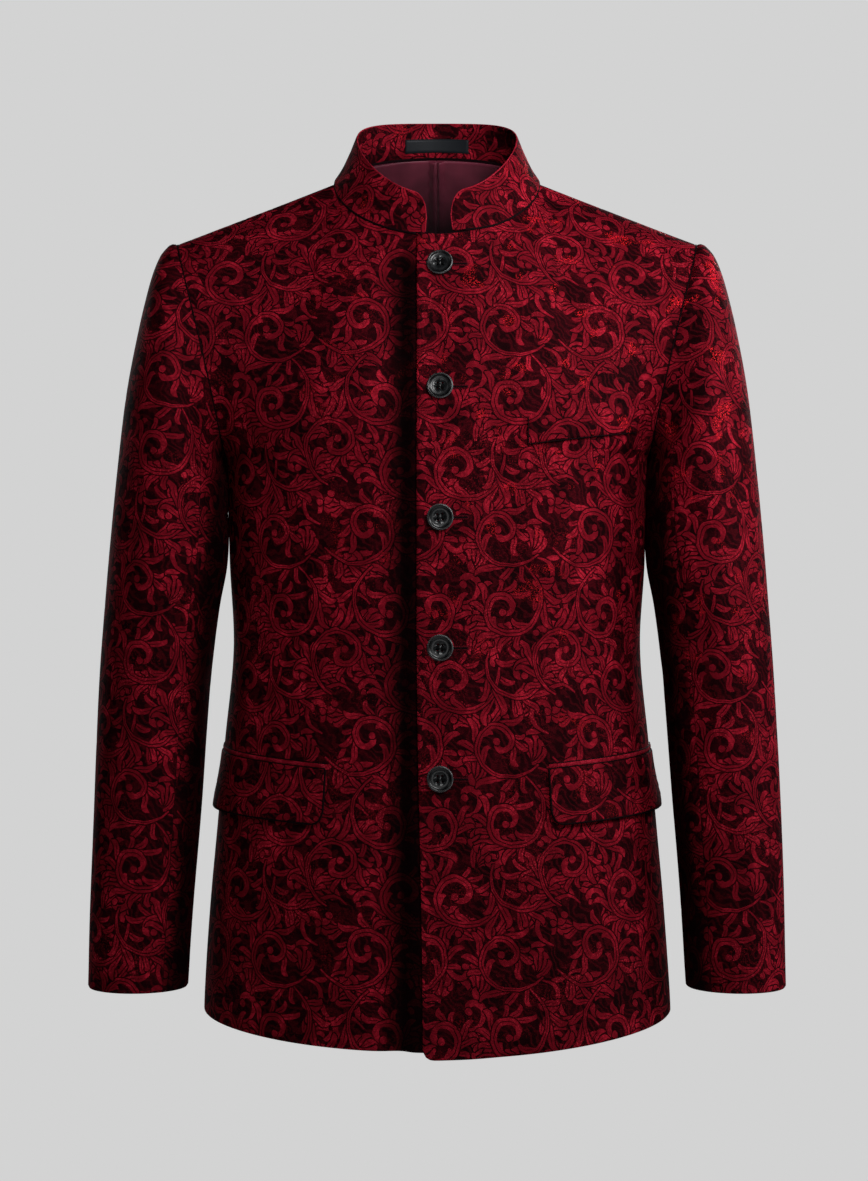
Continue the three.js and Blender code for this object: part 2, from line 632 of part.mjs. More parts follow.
function addButtons() {
  const shape = buttonGeometry();
  BUTTON_Z.forEach((z, i) => {
    const { p, n } = onFront(LEFT, BUTTON.x, z);
    const button = add(`button_${i + 1}`, shape, HORN);
    button.position.copy(p.addScaledVector(n, BUTTON.stand));
    button.quaternion.setFromUnitVectors(V(0, -1, 0), n);
  });
}

// ---------------------------------------------------------------- assembly
const half = SEAM_GAP / 2;
const frontLeft = frontNet(LEFT);
const frontRight = mirrored(frontNet(RIGHT));
const backLeft = backNet();
const backRight = mirrored(backLeft);
const topLeft = sleeveNet(TOP_SLEEVE_TURNS);
const underLeft = sleeveNet(UNDER_SLEEVE_TURNS);
const collar = collarNet();
const sleeves = [topLeft, underLeft, mirrored(topLeft), mirrored(underLeft)];
shareNormals([frontLeft, frontRight, backLeft, backRight, ...sleeves]);
for (const [panel, face, hand] of [
  [frontLeft, FRONT, LEFT],
  [frontRight, FRONT, RIGHT],
  [backLeft, BACK, LEFT],
  [backRight, BACK, RIGHT],
])
  matchCollar(panel, face, hand);
for (const knot of collar[0]) knot.p.addScaledVector(V(0, 0, 1), COLLAR_SEAM);

addWall("front_left", trimmed(frontLeft, half), -CLOTH, 0);
addWall("front_right", trimmed(frontRight, half), -CLOTH, 0);
addWall("back_left", trimmed(backLeft, half), -CLOTH, 0);
addWall("back_right", trimmed(backRight, half), -CLOTH, 0);
["sleeve_top_left", "sleeve_under_left", "sleeve_top_right", "sleeve_under_right"].forEach((name, i) =>
  addWall(name, trimmed(sleeves[i], half), -CLOTH, 0),
);
addWall("collar", trimmed(collar, half), -COLLAR_CLOTH / 2 - 0.2, COLLAR_CLOTH / 2 - 0.2);

for (const [side, hand] of [[LEFT, "left"], [RIGHT, "right"]]) {
  const { flap, jet } = pocket(side);
  const turned = (grid) => (side === LEFT ? grid : mirrored(grid));
  addWall(`pocket_flap_${hand}`, turned(flap.grid), flap.inner, flap.outer);
  addWall(`pocket_jet_${hand}`, turned(jet.grid), jet.inner, jet.outer);
}
addWall("chest_welt", chestWeltNet(), CHEST_WELT.gap, CHEST_WELT.gap + CHEST_WELT.thick);
addButtons();

const lining = liningNet(backLeft);
const middle = (lining[0].length - 1) / 2;
const foldIn = (i) => (i === middle ? PLEAT.depth : 0);
const liningOut = -CLOTH - LAID_GAP;
addWall("lining_back", lining, (i) => liningOut - LINING_CLOTH - foldIn(i), (i) => liningOut - foldIn(i), SATIN);

// The label lies on the inside of the collar at the back of the neck.
const labelOut = -COLLAR_CLOTH / 2 - 0.2 - LAID_GAP;
addWall("label", labelNet(collar), labelOut - LABEL.thick, labelOut, RIBBON);

export default jacket;
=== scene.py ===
import itertools
import math

import bpy
import numpy as np
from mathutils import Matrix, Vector
from mathutils.geometry import delaunay_2d_cdt


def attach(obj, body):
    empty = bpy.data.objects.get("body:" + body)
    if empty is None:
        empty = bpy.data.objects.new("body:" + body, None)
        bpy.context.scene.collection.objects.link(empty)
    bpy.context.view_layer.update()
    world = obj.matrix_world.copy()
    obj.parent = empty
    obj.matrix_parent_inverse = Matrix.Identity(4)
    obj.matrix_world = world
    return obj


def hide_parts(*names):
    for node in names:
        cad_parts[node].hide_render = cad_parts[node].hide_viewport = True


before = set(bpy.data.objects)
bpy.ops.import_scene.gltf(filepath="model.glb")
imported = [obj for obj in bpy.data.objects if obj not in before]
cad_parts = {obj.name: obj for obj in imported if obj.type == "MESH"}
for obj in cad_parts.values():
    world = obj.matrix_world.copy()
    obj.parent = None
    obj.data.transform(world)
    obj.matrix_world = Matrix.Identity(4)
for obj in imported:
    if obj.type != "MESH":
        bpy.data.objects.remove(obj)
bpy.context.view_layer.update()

# The jacket's looks: each cut piece is a thin shell on its solid's form, with soft creases, rolled edges and
# a woven damask scroll. The sizes are those of the solids, in millimetres until the meshes are made.
MM = 0.001
RNG = np.random.default_rng(7)

# ------------------------------------------------------------------ the garment's sizes, as in the solids
CLOTH = 2.4
COLLAR_CLOTH = 2.8
LINING_CLOTH = 1.0
LAID_GAP = 0.3
SEAM = 0.15
COLLAR_SEAM = 0.7
SIDE_Y = 8
UNDERARM_Z = -240
HEM_Z = -718.5
HEM_DROP = 18
LAP_DROP = 6
HEM_CORNER = 9
FRONT_EDGE = 17
EDGE_SWING = dict(by=5, start=-380, end=-740)
UNDER_EDGE = 20
LAP_LIFT = 3.2
LAP_FLAT, LAP_END = 24, 56
NECK = dict(halfWidth=89, front=77, back=50, frontZ=-54.5, backZ=29.5)
COLLAR_TOP = dict(halfWidth=69.2, midY=5, front=62, back=50, frontZ=-19, sideZ=39, backZ=60)
COLLAR_END = dict(right=10.5, left=13.5, cornerWide=15, cornerTall=20)
NECK_SHARE = 0.45
BUTTON = dict(radius=11, thick=3.6, dish=1.1, hole=1.05, holeAt=2.1, x=2.4, stand=0.8)
BUTTON_Z = (-80, -185.5, -294, -402.5, -511)
DART = dict(across=0.404, topZ=-262, bottomZ=-496)
FLAP = dict(start=0.3213, end=0.9793, z=-504, rise=12, tall=46, sideTaller=2, thick=2.2, flare=3.4, corner=10)
JET = dict(tall=4.6, thick=1.3)
CHEST_WELT = dict(x0=75.5, x1=168, z=-233, rise=12, tall=22, thick=1.3, gap=0.55)
LABEL = dict(width=58, bottom=0.16, top=0.56, thick=0.5)
PLEAT = dict(halfWidth=7, depth=5, slot=4, slotWide=1.3)
FRONT, BACK, LEFT, RIGHT = -1, 1, 1, -1

SECTION_NAMES = ("z", "halfWidth", "front", "back", "square")
SECTIONS = np.array([
    (-745, 203.5, 133, 119, 2.3),
    (-700, 202, 132, 119, 2.3),
    (-620, 196.7, 129, 120, 2.3),
    (-555, 190.7, 125, 115, 2.3),
    (-486, 184.2, 121, 105, 2.3),
    (-405, 177, 116, 95, 2.3),
    (-330, 180.6, 118, 100, 2.32),
    (-240, 183, 120, 112, 2.35),
    (-190, 186, 121, 116, 2.35),
])
RING_NAMES = ("outX", "outZ", "inX", "inZ", "midY", "front", "back", "bowFront", "bowBack", "sag")
SLEEVE_RINGS = np.array([
    (225.5, -53.8, 183, -240, 6, 70, 66, 7, 3, 12),
    (230.5, -54.4, 184, -242.5, 5, 71.5, 67.5, 4, 1.5, 11),
    (238.5, -61, 184.2, -246, 3.5, 74.5, 70, 0, 0, 9),
    (245.3, -76, 184, -250, 1, 77, 72, -2, -2, 7),
    (251.5, -98, 183.6, -256, -2, 78.5, 73, -2, -2, 5),
    (259.2, -133, 182.8, -266, -6, 79, 73, -1, -1, 3),
    (268, -184, 181.4, -284, -11, 77, 71.5, 0, 0, 1),
    (275.6, -252, 180.2, -308, -16, 74, 69.5, 0, 0, 0),
    (282.1, -318, 182, -336, -18, 71, 67.5, 0, 0, 0),
    (286.2, -370, 188.2, -370, -19, 68, 65.5, 0, 0, 0),
    (289.8, -422, 194.2, -422, -20, 65, 64, 0, 0, 0),
    (292.6, -478, 198.6, -478, -22, 61.5, 60.5, 0, 0, 0),
    (295, -540, 202.8, -540, -25, 58, 57, 0, 0, 0),
    (297.4, -619, 208.6, -619, -30, 53.5, 53, 0, 0, 0),
    (298.6, -693.6, 213.4, -693.6, -36, 49, 49, 0, 0, 0),
])


# ------------------------------------------------------------------ curves
def ease(t):
    t = np.clip(t, 0, 1)
    return t * t * (3 - 2 * t)


def lerp(a, b, t):
    return a + (b - a) * t


def hermite(p0, m0, p1, m1, t):
    t2, t3 = t * t, t * t * t
    return (2 * t3 - 3 * t2 + 1) * p0 + (t3 - 2 * t2 + t) * m0 + (3 * t2 - 2 * t3) * p1 + (t3 - t2) * m1


def smooth(places, values, at):
    """A smooth curve through values at rising places."""
    places, values, at = np.asarray(places, float), np.asarray(values, float), np.asarray(at, float)
    last = len(places) - 1
    low = np.maximum(np.arange(last + 1) - 1, 0)
    high = np.minimum(np.arange(last + 1) + 1, last)
    slope = (values[high] - values[low]) / (places[high] - places[low])
    i = np.clip(np.searchsorted(places, at, side="right") - 1, 0, last - 1)
    span = places[i + 1] - places[i]
    return hermite(values[i], slope[i] * span, values[i + 1], slope[i + 1] * span, (at - places[i]) / span)


def xyz(x, y, z):
    return np.stack(np.broadcast_arrays(x, y, z), -1).astype(float)


def unit(v):
    """The same directions with a length of one."""
    return v / (np.linalg.norm(v, axis=-1, keepdims=True) + 1e-12)


def cross2(a, b):
    return a[..., 0] * b[..., 1] - a[..., 1] * b[..., 0]


def lengths_along(path):
    """How far each point of a line is from the first, along the line."""
    return np.concatenate([[0], np.cumsum(np.linalg.norm(np.diff(path, axis=0), axis=1))])


def circle(degrees):
    return np.stack([np.cos(np.radians(degrees)), np.sin(np.radians(degrees))], -1)


# ------------------------------------------------------------------ the garment's surface
def section(name, z):
    return smooth(SECTIONS[:, 0], SECTIONS[:, SECTION_NAMES.index(name)], z)


def trunk(face, across, z):
    """Below the underarm: across runs from 0 at the centre line to 1 at the side seam."""
    sin, cos = np.sin(across * math.pi / 2), np.cos(across * math.pi / 2)
    square = section("square", z)
    reach = (np.abs(sin) ** square + np.abs(cos) ** square) ** (-1 / square)
    depth = -section("front", z) if face == FRONT else section("back", z)
    return xyz(section("halfWidth", z) * reach * sin, SIDE_Y + depth * reach * cos, z)


def tilted(at, a, za, b, zb):
    bend = (za / a - zb / b) / (a - b)
    return (za / a - bend * a) * at + bend * at * at


def neckline(turn):
    """turn is 0 at the centre back, 90 at the shoulder seam and 180 at the centre front."""
    sin, cos = np.sin(np.radians(turn)), np.cos(np.radians(turn))
    dy = np.where(cos > 0, NECK["back"], NECK["front"]) * cos
    z = tilted(dy, NECK["back"], NECK["backZ"], -NECK["front"], NECK["frontZ"])
    return xyz(NECK["halfWidth"] * sin, SIDE_Y + dy, z)


def sleeve(turn, down):
    """turn is 0 at the shoulder, 90 at the front and 180 under the arm, and down is 1 at the cuff."""
    at = np.asarray(down, float) * (len(SLEEVE_RINGS) - 1)
    places = np.arange(len(SLEEVE_RINGS))

    def ring(name):
        return smooth(places, SLEEVE_RINGS[:, RING_NAMES.index(name)], at)

    sin, cos = np.sin(np.radians(turn)), np.cos(np.radians(turn))
    bow = np.where(sin > 0, ring("bowFront"), ring("bowBack"))
    depth = np.where(sin > 0, ring("front"), ring("back"))
    x = lerp(ring("inX"), ring("outX"), (1 + cos) / 2) - bow * sin * sin
    z = lerp(ring("inZ"), ring("outZ"), (1 + cos) / 2) - ring("sag") * sin * sin
    return xyz(x, ring("midY") - depth * sin, z)


def top_edge(face, across):
    quarter = 90 * across / NECK_SHARE
    neck = neckline(180 - quarter if face == FRONT else quarter)
    t = ((across - NECK_SHARE) / (1 - NECK_SHARE))[..., None]
    shoulder = lerp(neckline(np.array(90.0)), sleeve(np.array(0.0), 0), t)
    return np.where((across <= NECK_SHARE)[..., None], neck, shoulder)


def top_slope(face, across):
    """How the cloth runs into its top edge: steep at the centre, and rolling over the shoulder."""
    if face == FRONT:
        centre, neck_side, tip = (0, 60, 185), (-25, 105, 95), (25, 115, 30)
    else:
        centre, neck_side, tip = (0, -200, 230), (-25, -170, 110), (25, -150, 35)
    centre, neck_side, tip = np.array(centre, float), np.array(neck_side, float), np.array(tip, float)
    low = lerp(centre, neck_side, (across / NECK_SHARE)[..., None])
    high = lerp(neck_side, tip, ((across - NECK_SHARE) / (1 - NECK_SHARE))[..., None])
    return np.where((across <= NECK_SHARE)[..., None], low, high)


def yoke(face, across, up):
    """Above the underarm: up runs from 0 there to 1 at the neckline and the shoulder seam."""

    def column(at, t):
        low, top = trunk(face, at, UNDERARM_Z), top_edge(face, at)
        rise = (top[..., 2] - UNDERARM_Z) / 10
        start = (trunk(face, at, UNDERARM_Z + 5) - trunk(face, at, UNDERARM_Z - 5)) * rise[..., None]
        return hermite(low, start, top, top_slope(face, at), t[..., None])

    side = sleeve(180 * (1 - up) if face == FRONT else 180 * (1 + up), 0) - column(np.ones_like(up), up)
    return column(across, up) + side * (across**1.5)[..., None]


def hem_z(face, side, across):
    if face == BACK:
        return np.full_like(across, HEM_Z)
    x = trunk(face, np.abs(across), HEM_Z)[..., 0] / trunk(face, np.array(1.0), HEM_Z)[..., 0]
    lap = LAP_DROP * (1 - np.abs(across)) ** 1.2 if side == LEFT else 0
    return HEM_Z - HEM_DROP * (1 - x * x).clip(0) ** 0.8 - lap


def garment(face, side, across, up):
    """A panel of the wearer's left half: up is 0 at the hem, 1 at the underarm and 2 at the top edge."""
    across, up = np.broadcast_arrays(np.asarray(across, float), np.asarray(up, float))
    at = np.abs(across)
    low = trunk(face, at, lerp(hem_z(face, side, across), UNDERARM_Z, np.clip(up, 0, 1)))
    high = yoke(face, at, np.clip(up - 1, 0, 1))
    p = np.where((up > 1)[..., None], high, low)
    p[..., 0] *= np.where(across < 0, -1, 1)
    return p


def lap_lift(side, x):
    return LAP_LIFT * (1 - ease((x - LAP_FLAT) / (LAP_END - LAP_FLAT))) if side == LEFT else 0 * x


def across_at(side, x, up):
    """Where the rows of a front have a given x, close to the centre line."""
    low, high = np.zeros_like(up), np.full_like(up, 0.4)
    for _ in range(30):
        middle = (low + high) / 2
        short = garment(FRONT, side, middle, up)[..., 0] < np.abs(x)
        low, high = np.where(short, middle, low), np.where(short, high, middle)
    return np.sign(x) * low


def collar_point(turn, up):
    sin, cos = np.sin(np.radians(turn)), np.cos(np.radians(turn))
    c = COLLAR_TOP
    dy = np.where(cos > 0, c["back"], c["front"]) * cos
    z = c["sideZ"] + tilted(dy, c["back"], c["backZ"] - c["sideZ"], -c["front"], c["frontZ"] - c["sideZ"])
    top = xyz(c["halfWidth"] * sin, c["midY"] + dy, z)
    base = neckline(turn)
    p = lerp(base, top, (up**0.75)[..., None])
    p[..., 2] = lerp(base[..., 2], top[..., 2], up)
    return p


# ------------------------------------------------------------------ nets
# A net is a dense array of points, [row, column], with rows going up the piece.
def normals_of(net, out):
    """Unit normals on a net, turned to point the way that out does."""
    n = unit(np.cross(np.gradient(net, axis=1), np.gradient(net, axis=0)))
    return -n if (n * out).sum(2).mean() < 0 else n


def arcs(net, axis):
    step = np.linalg.norm(np.diff(net, axis=axis), axis=2)
    zero = np.zeros_like(step[:1] if axis == 0 else step[:, :1])
    return np.cumsum(np.concatenate([zero, step], axis), axis)


def cell(field, at):
    """The column and the row of the cell that holds each place, and how far into it the place is."""
    corner = np.clip(np.floor(at).astype(int), 0, np.array(field.shape[1::-1]) - 2)
    return *corner.T, *(at - corner).T


def sample(field, at):
    """A net's field at fractional columns and rows, linearly."""
    i, j, a, b = cell(field, at)
    a, b = a[:, None], b[:, None]
    f = field if field.ndim == 3 else field[..., None]
    low = f[j, i] * (1 - a) + f[j, i + 1] * a
    high = f[j + 1, i] * (1 - a) + f[j + 1, i + 1] * a
    return (low * (1 - b) + high * b).reshape(len(at), *field.shape[2:])


def sample_smooth(field, at):
    """The same on a smooth curve through the net's points."""
    def weights(t):
        return np.stack([
            -0.5 * t + t**2 - 0.5 * t**3,
            1 - 2.5 * t**2 + 1.5 * t**3,
            0.5 * t + 2 * t**2 - 1.5 * t**3,
            -0.5 * t**2 + 0.5 * t**3,
        ])

    padded = np.pad(field, ((1, 1), (1, 1), (0, 0)), mode="reflect", reflect_type="odd")
    i, j, a, b = cell(field, at)
    wi, wj = weights(a), weights(b)
    total = 0
    for b in range(4):
        for a in range(4):
            total = total + (wi[a] * wj[b])[:, None] * padded[j + b, i + a]
    return total


def relaxed(p, faces, flat, rounds=80):
    """Flat places for a surface's points, at which each triangle keeps its size as well as it can."""
    e1, e2 = p[faces[:, 1]] - p[faces[:, 0]], p[faces[:, 2]] - p[faces[:, 0]]
    length = np.linalg.norm(e1, axis=1)
    along = (e1 * e2).sum(1) / length
    own = np.zeros((len(faces), 3, 2))
    own[:, 1, 0], own[:, 2, 0] = length, along
    own[:, 2, 1] = np.sqrt(((e2**2).sum(1) - along**2).clip(1e-9))
    laplace = np.zeros((len(p), len(p)))
    sides = []
    for k in range(3):
        a, b, c = k, (k + 1) % 3, (k + 2) % 3
        u, v = own[:, a] - own[:, c], own[:, b] - own[:, c]
        weight = ((u * v).sum(1) / np.abs(cross2(u, v))).clip(0.05)
        sides.append((faces[:, a], faces[:, b], own[:, b] - own[:, a], weight))
        for m, q in ((faces[:, a], faces[:, b]), (faces[:, b], faces[:, a])):
            np.add.at(laplace, (m, m), weight)
            np.add.at(laplace, (m, q), -weight)
    laplace[0, 0] += 1
    solve = np.linalg.inv(laplace)
    for _ in range(rounds):
        cosine, sine = 0, 0
        for a, b, was, weight in sides:
            now = flat[b] - flat[a]
            cosine = cosine + weight * (was * now).sum(1)
            sine = sine + weight * cross2(was, now)
        size = np.hypot(cosine, sine) + 1e-12
        cosine, sine = cosine / size, sine / size
        pull = np.zeros_like(flat)
        for a, b, was, weight in sides:
            x, y = was.T
            moved = np.stack([cosine * x - sine * y, sine * x + cosine * y], 1) * weight[:, None]
            np.add.at(pull, b, moved)
            np.add.at(pull, a, -moved)
        flat = solve @ pull
    return flat


def flatten(net, n, base_row, rows=38, columns=26):
    """The flat shape of cloth that takes a net's form with the least stretch.

    u runs right as seen from outside and v up, and the threads are level along the base row."""
    shape = net.shape[:2]
    steps = np.linspace(0, shape[0] - 1, rows), np.linspace(0, shape[1] - 1, columns)
    j, i = np.meshgrid(*steps, indexing="ij")
    coarse = np.stack([i.ravel(), j.ravel()], 1)
    p, out = sample_smooth(net, coarse), sample(n, coarse)
    number = np.arange(rows * columns).reshape(rows, columns)
    a, b, c, d = number[:-1, :-1], number[:-1, 1:], number[1:, 1:], number[1:, :-1]
    halves = ((a, b, c), (a, c, d), (a, b, d), (b, c, d))
    faces = np.concatenate([np.stack(half, -1).reshape(-1, 3) for half in halves])
    e1, e2 = p[faces[:, 1]] - p[faces[:, 0]], p[faces[:, 2]] - p[faces[:, 0]]
    hand = 1 if (np.cross(e1, e2) * out[faces[:, 0]]).sum() > 0 else -1
    grid = p.reshape(rows, columns, 3)
    start = np.stack([hand * arcs(grid, 1), arcs(grid, 0)], -1).reshape(-1, 2)
    flat = relaxed(p, faces[:, ::hand], start)
    at = np.stack(np.meshgrid(np.arange(shape[1]), np.arange(shape[0])), -1).reshape(-1, 2)
    at = at * ((columns - 1) / (shape[1] - 1), (rows - 1) / (shape[0] - 1))
    flat = sample_smooth(flat.reshape(rows, columns, 2), at).reshape(*shape, 2)
    # turned so that the threads are level along the base row
    right = unit(np.cross((0, 0, 1), n[base_row]))
    upward = np.cross(n[base_row], right)
    step, laid = np.diff(net[base_row], axis=0), np.diff(flat[base_row], axis=0)
    level = np.stack([(step * right[1:]).sum(1), (step * upward[1:]).sum(1)], 1)
    cosine = (laid * level).sum()
    sine = cross2(laid, level).sum()
    flat = flat @ (np.array(((cosine, sine), (-sine, cosine))) / math.hypot(cosine, sine))
    return flat - flat[base_row, 0]


# Long lists of places are worked through in blocks, to save memory.
BLOCK = 6000


def place_of(flat, uv, guess_rows=40, guess_columns=24, rounds=12, longest_step=12):
    """The fractional column and row that have these flat coordinates: a coarse guess, then Newton's steps."""
    rows, columns = flat.shape[:2]
    guesses = np.linspace(0, rows - 1, guess_rows), np.linspace(0, columns - 1, guess_columns)
    j, i = np.meshgrid(*guesses, indexing="ij")
    coarse = np.stack([i.ravel(), j.ravel()], 1)
    known = sample(flat, coarse)
    at = np.empty((len(uv), 2))
    for k in range(0, len(uv), BLOCK):
        part = uv[k:k + BLOCK]
        gap = (known[None, :, 0] - part[:, None, 0]) ** 2 + (known[None, :, 1] - part[:, None, 1]) ** 2
        at[k:k + BLOCK] = coarse[gap.argmin(1)]
    for _ in range(rounds):
        i, j, a, b = cell(flat, at)
        a, b = a[:, None], b[:, None]
        du = (flat[j, i + 1] - flat[j, i]) * (1 - b) + (flat[j + 1, i + 1] - flat[j + 1, i]) * b
        dv = (flat[j + 1, i] - flat[j, i]) * (1 - a) + (flat[j + 1, i + 1] - flat[j, i + 1]) * a
        miss = uv - sample(flat, at)
        size = cross2(du, dv)
        size = np.where(np.abs(size) < 1e-9, 1e-9, size)
        step = np.stack([cross2(miss, dv), cross2(du, miss)], 1) / size[:, None]
        at = np.clip(at + np.clip(step, -longest_step, longest_step), 0, (columns - 1, rows - 1))
    return at


# ------------------------------------------------------------------ the damask's chart
TILE = (152.0, 176.0)
OUTLINE = 1.1
# How near the kept points of the pattern's lines bring them to what was drawn.
LINE_TRUE = 0.13


def table(columns, rows):
    return [dict(zip(columns, row)) for row in rows]


# Big scrolls sweep in from a long tail, anticlockwise where hand is 1.
SCROLLS = table(
    ("x", "y", "radius", "start", "turns", "hand", "width", "tufts"),
    [
        (36, 34, 18, 205, 1.5, 1, 5.0, 4),
        (108, 30, 16.5, 330, 1.45, -1, 4.6, 4),
        (70, 82, 19, 30, 1.5, -1, 5.2, 4),
        (128, 88, 15.5, 150, 1.4, 1, 4.6, 4),
        (14, 104, 16.5, 255, 1.5, -1, 4.8, 4),
        (54, 140, 17.5, 110, 1.45, 1, 5.0, 4),
        (112, 142, 18, 65, 1.5, -1, 5.0, 4),
    ],
)
# Hooks are small stout scrolls in the room between.
HOOKS = table(
    ("x", "y", "radius", "start", "turns", "hand", "width"),
    [
        (72, 20, 8.0, 90, 0.85, 1, 4.4),
        (66, 50, 7.0, 250, 0.8, -1, 4.0),
        (4, 62, 8.4, 30, 0.9, 1, 4.4),
        (34, 74, 7.0, 300, 0.8, 1, 4.0),
        (100, 62, 7.4, 190, 0.85, 1, 4.2),
        (146, 56, 8.0, 280, 0.85, -1, 4.4),
        (98, 110, 8.0, 140, 0.9, -1, 4.4),
        (44, 106, 7.4, 60, 0.8, -1, 4.0),
        (142, 120, 8.0, 200, 0.85, 1, 4.4),
        (20, 142, 7.6, 10, 0.85, 1, 4.2),
        (80, 162, 8.0, 230, 0.9, 1, 4.4),
        (142, 166, 8.0, 100, 0.85, -1, 4.4),
        (24, 4, 7.0, 160, 0.8, -1, 4.0),
    ],
)
# Plumes are long leaves from one foot, which all sweep the same way.
PLUMES = table(
    ("x", "y", "angle", "length", "leaves", "spread", "sweep"),
    [
        (50, 52, 70, 30, 5, 60, 50),
        (86, 44, 120, 28, 5, 64, -50),
        (122, 50, 75, 32, 5, 58, 56),
        (8, 74, 95, 32, 5, 60, -50),
        (106, 78, 250, 24, 4, 52, 46),
        (40, 88, 140, 26, 4, 56, -48),
        (82, 104, 60, 30, 5, 60, 52),
        (122, 108, 105, 30, 5, 60, -52),
        (28, 124, 60, 28, 4, 56, 48),
        (74, 148, 290, 24, 4, 54, -46),
        (138, 140, 55, 28, 5, 58, 50),
        (84, 172, 75, 32, 5, 60, -52),
        (10, 168, 65, 30, 5, 60, 50),
        (52, 168, 125, 28, 4, 56, -50),
        (56, 16, 285, 22, 4, 52, 44),
        (134, 12, 60, 28, 5, 58, -48),
        (20, 52, 200, 24, 4, 50, 44),
        (96, 132, 200, 24, 4, 50, -46),
        (148, 86, 20, 24, 4, 52, 44),
    ],
)


def heading(path):
    return unit(np.gradient(path, axis=0))


# Waves in the drawn lines across and up: their height, how many to a tile's width and height, and the phase.
WOBBLE = (
    ((0.55, 2, 5, 0), (0.32, -7, 13, 1), (0.16, 17, 29, 0)),
    ((0.55, 4, -3, 2), (0.32, 11, 8, 0), (0.16, 31, -19, 1)),
)


def wobbled(points):
    """A little unevenness, as in drawing by hand, that repeats with the tile."""
    x, y = (points * 2 * np.pi / TILE).T
    moves = [sum(high * np.sin(i * x + j * y + phase) for high, i, j, phase in waves) for waves in WOBBLE]
    return points + np.stack(moves, 1)


def band(path, half):
    """The outline of a band of that half width along a line of points."""
    along = heading(path)
    side = np.stack([-along[:, 1], along[:, 0]], 1) * np.asarray(half)[:, None]
    return wobbled(np.concatenate([path + side, (path - side)[::-1]]))


def spiral(x, y, radius, start, turns, hand, step=12.0, tail=2.2, eye=0.24):
    t = np.linspace(0, 1, max(8, int(turns * 360 / step)))
    r = radius * tail * (eye / tail) ** t
    a = np.radians(start + hand * 360 * turns * t)
    return np.stack([x + r * np.cos(a), y + r * np.sin(a)], 1), t


# How a band's width swells along it: the places, from 0 to 1, and the shares of the full width there.
LEAF_SWELL = ([0, 0.18, 0.5, 0.78, 0.92, 1], [0.5, 0.74, 1.0, 0.92, 0.62, 0.12])
SCROLL_SWELL = ([0, 0.15, 0.5, 0.85, 1], [0.25, 0.8, 1.15, 1.0, 0.8])
HOOK_SWELL = ([0, 0.3, 0.8, 1], [0.3, 1.0, 1.25, 1.0])


def leaf(x, y, angle, length, width, bend, tip, count=11):
    """A leaf that turns through bend degrees along its length, and whose tip hooks round by tip more."""
    t = np.linspace(0, 1, count)
    a = np.radians(angle + bend * t + tip * ((t - 0.5) / 0.5).clip(0) ** 1.4)
    step = np.stack([np.cos(a), np.sin(a)], 1) * length / (count - 1)
    path = np.concatenate([[[0.0, 0.0]], np.cumsum(step, 0)[:-1]]) + (x, y)
    return path, width / 2 * np.interp(t, *LEAF_SWELL)


# The leaves of a tuft peel off a stem's outer side, and the longest is nearest to it. A scroll has a tuft at
# each of some places along it, and the tufts get smaller.
TUFT_LENGTH = 25
TUFT = table(
    ("back", "off", "long", "wide", "bend", "tip"),
    [(0, 58, 0.62, 4.4, -10, -95), (1, 38, 0.84, 4.9, 8, -95), (2, 16, 1.1, 5.3, 26, -100)],
)
TUFTS = dict(first=0.10, reach=0.52, size=1.12, shrink=0.4)
# A scroll's two inner leaves, a hook's leaves, and how a plume's outer leaves differ from its middle one.
INNER_LEAVES = table(("at", "off", "long", "wide"), [(0.2, 42, 1.05, 4.6), (0.33, 30, 0.75, 4.2)])
INNER_BEND, INNER_TIP = 10, 110
HOOK_LEAVES = (0.1, 0.34, 0.55)
HOOK_LEAF = dict(off=34, length=14, width=4.8, bend=5, tip=90)
PLUME_LEAF = dict(shorter=0.28, fan=0.62, width=5.6, bend=0.9, tip=70)
# Half widths of the dark veins, the share of a scroll that has one, and the discs' radii for a band's width.
LEAF_VEIN, INNER_VEIN, SCROLL_VEIN, VEINED = 0.32, 0.3, 0.42, 0.72
SCROLL_DISC, HOOK_DISC = 0.62, 0.66


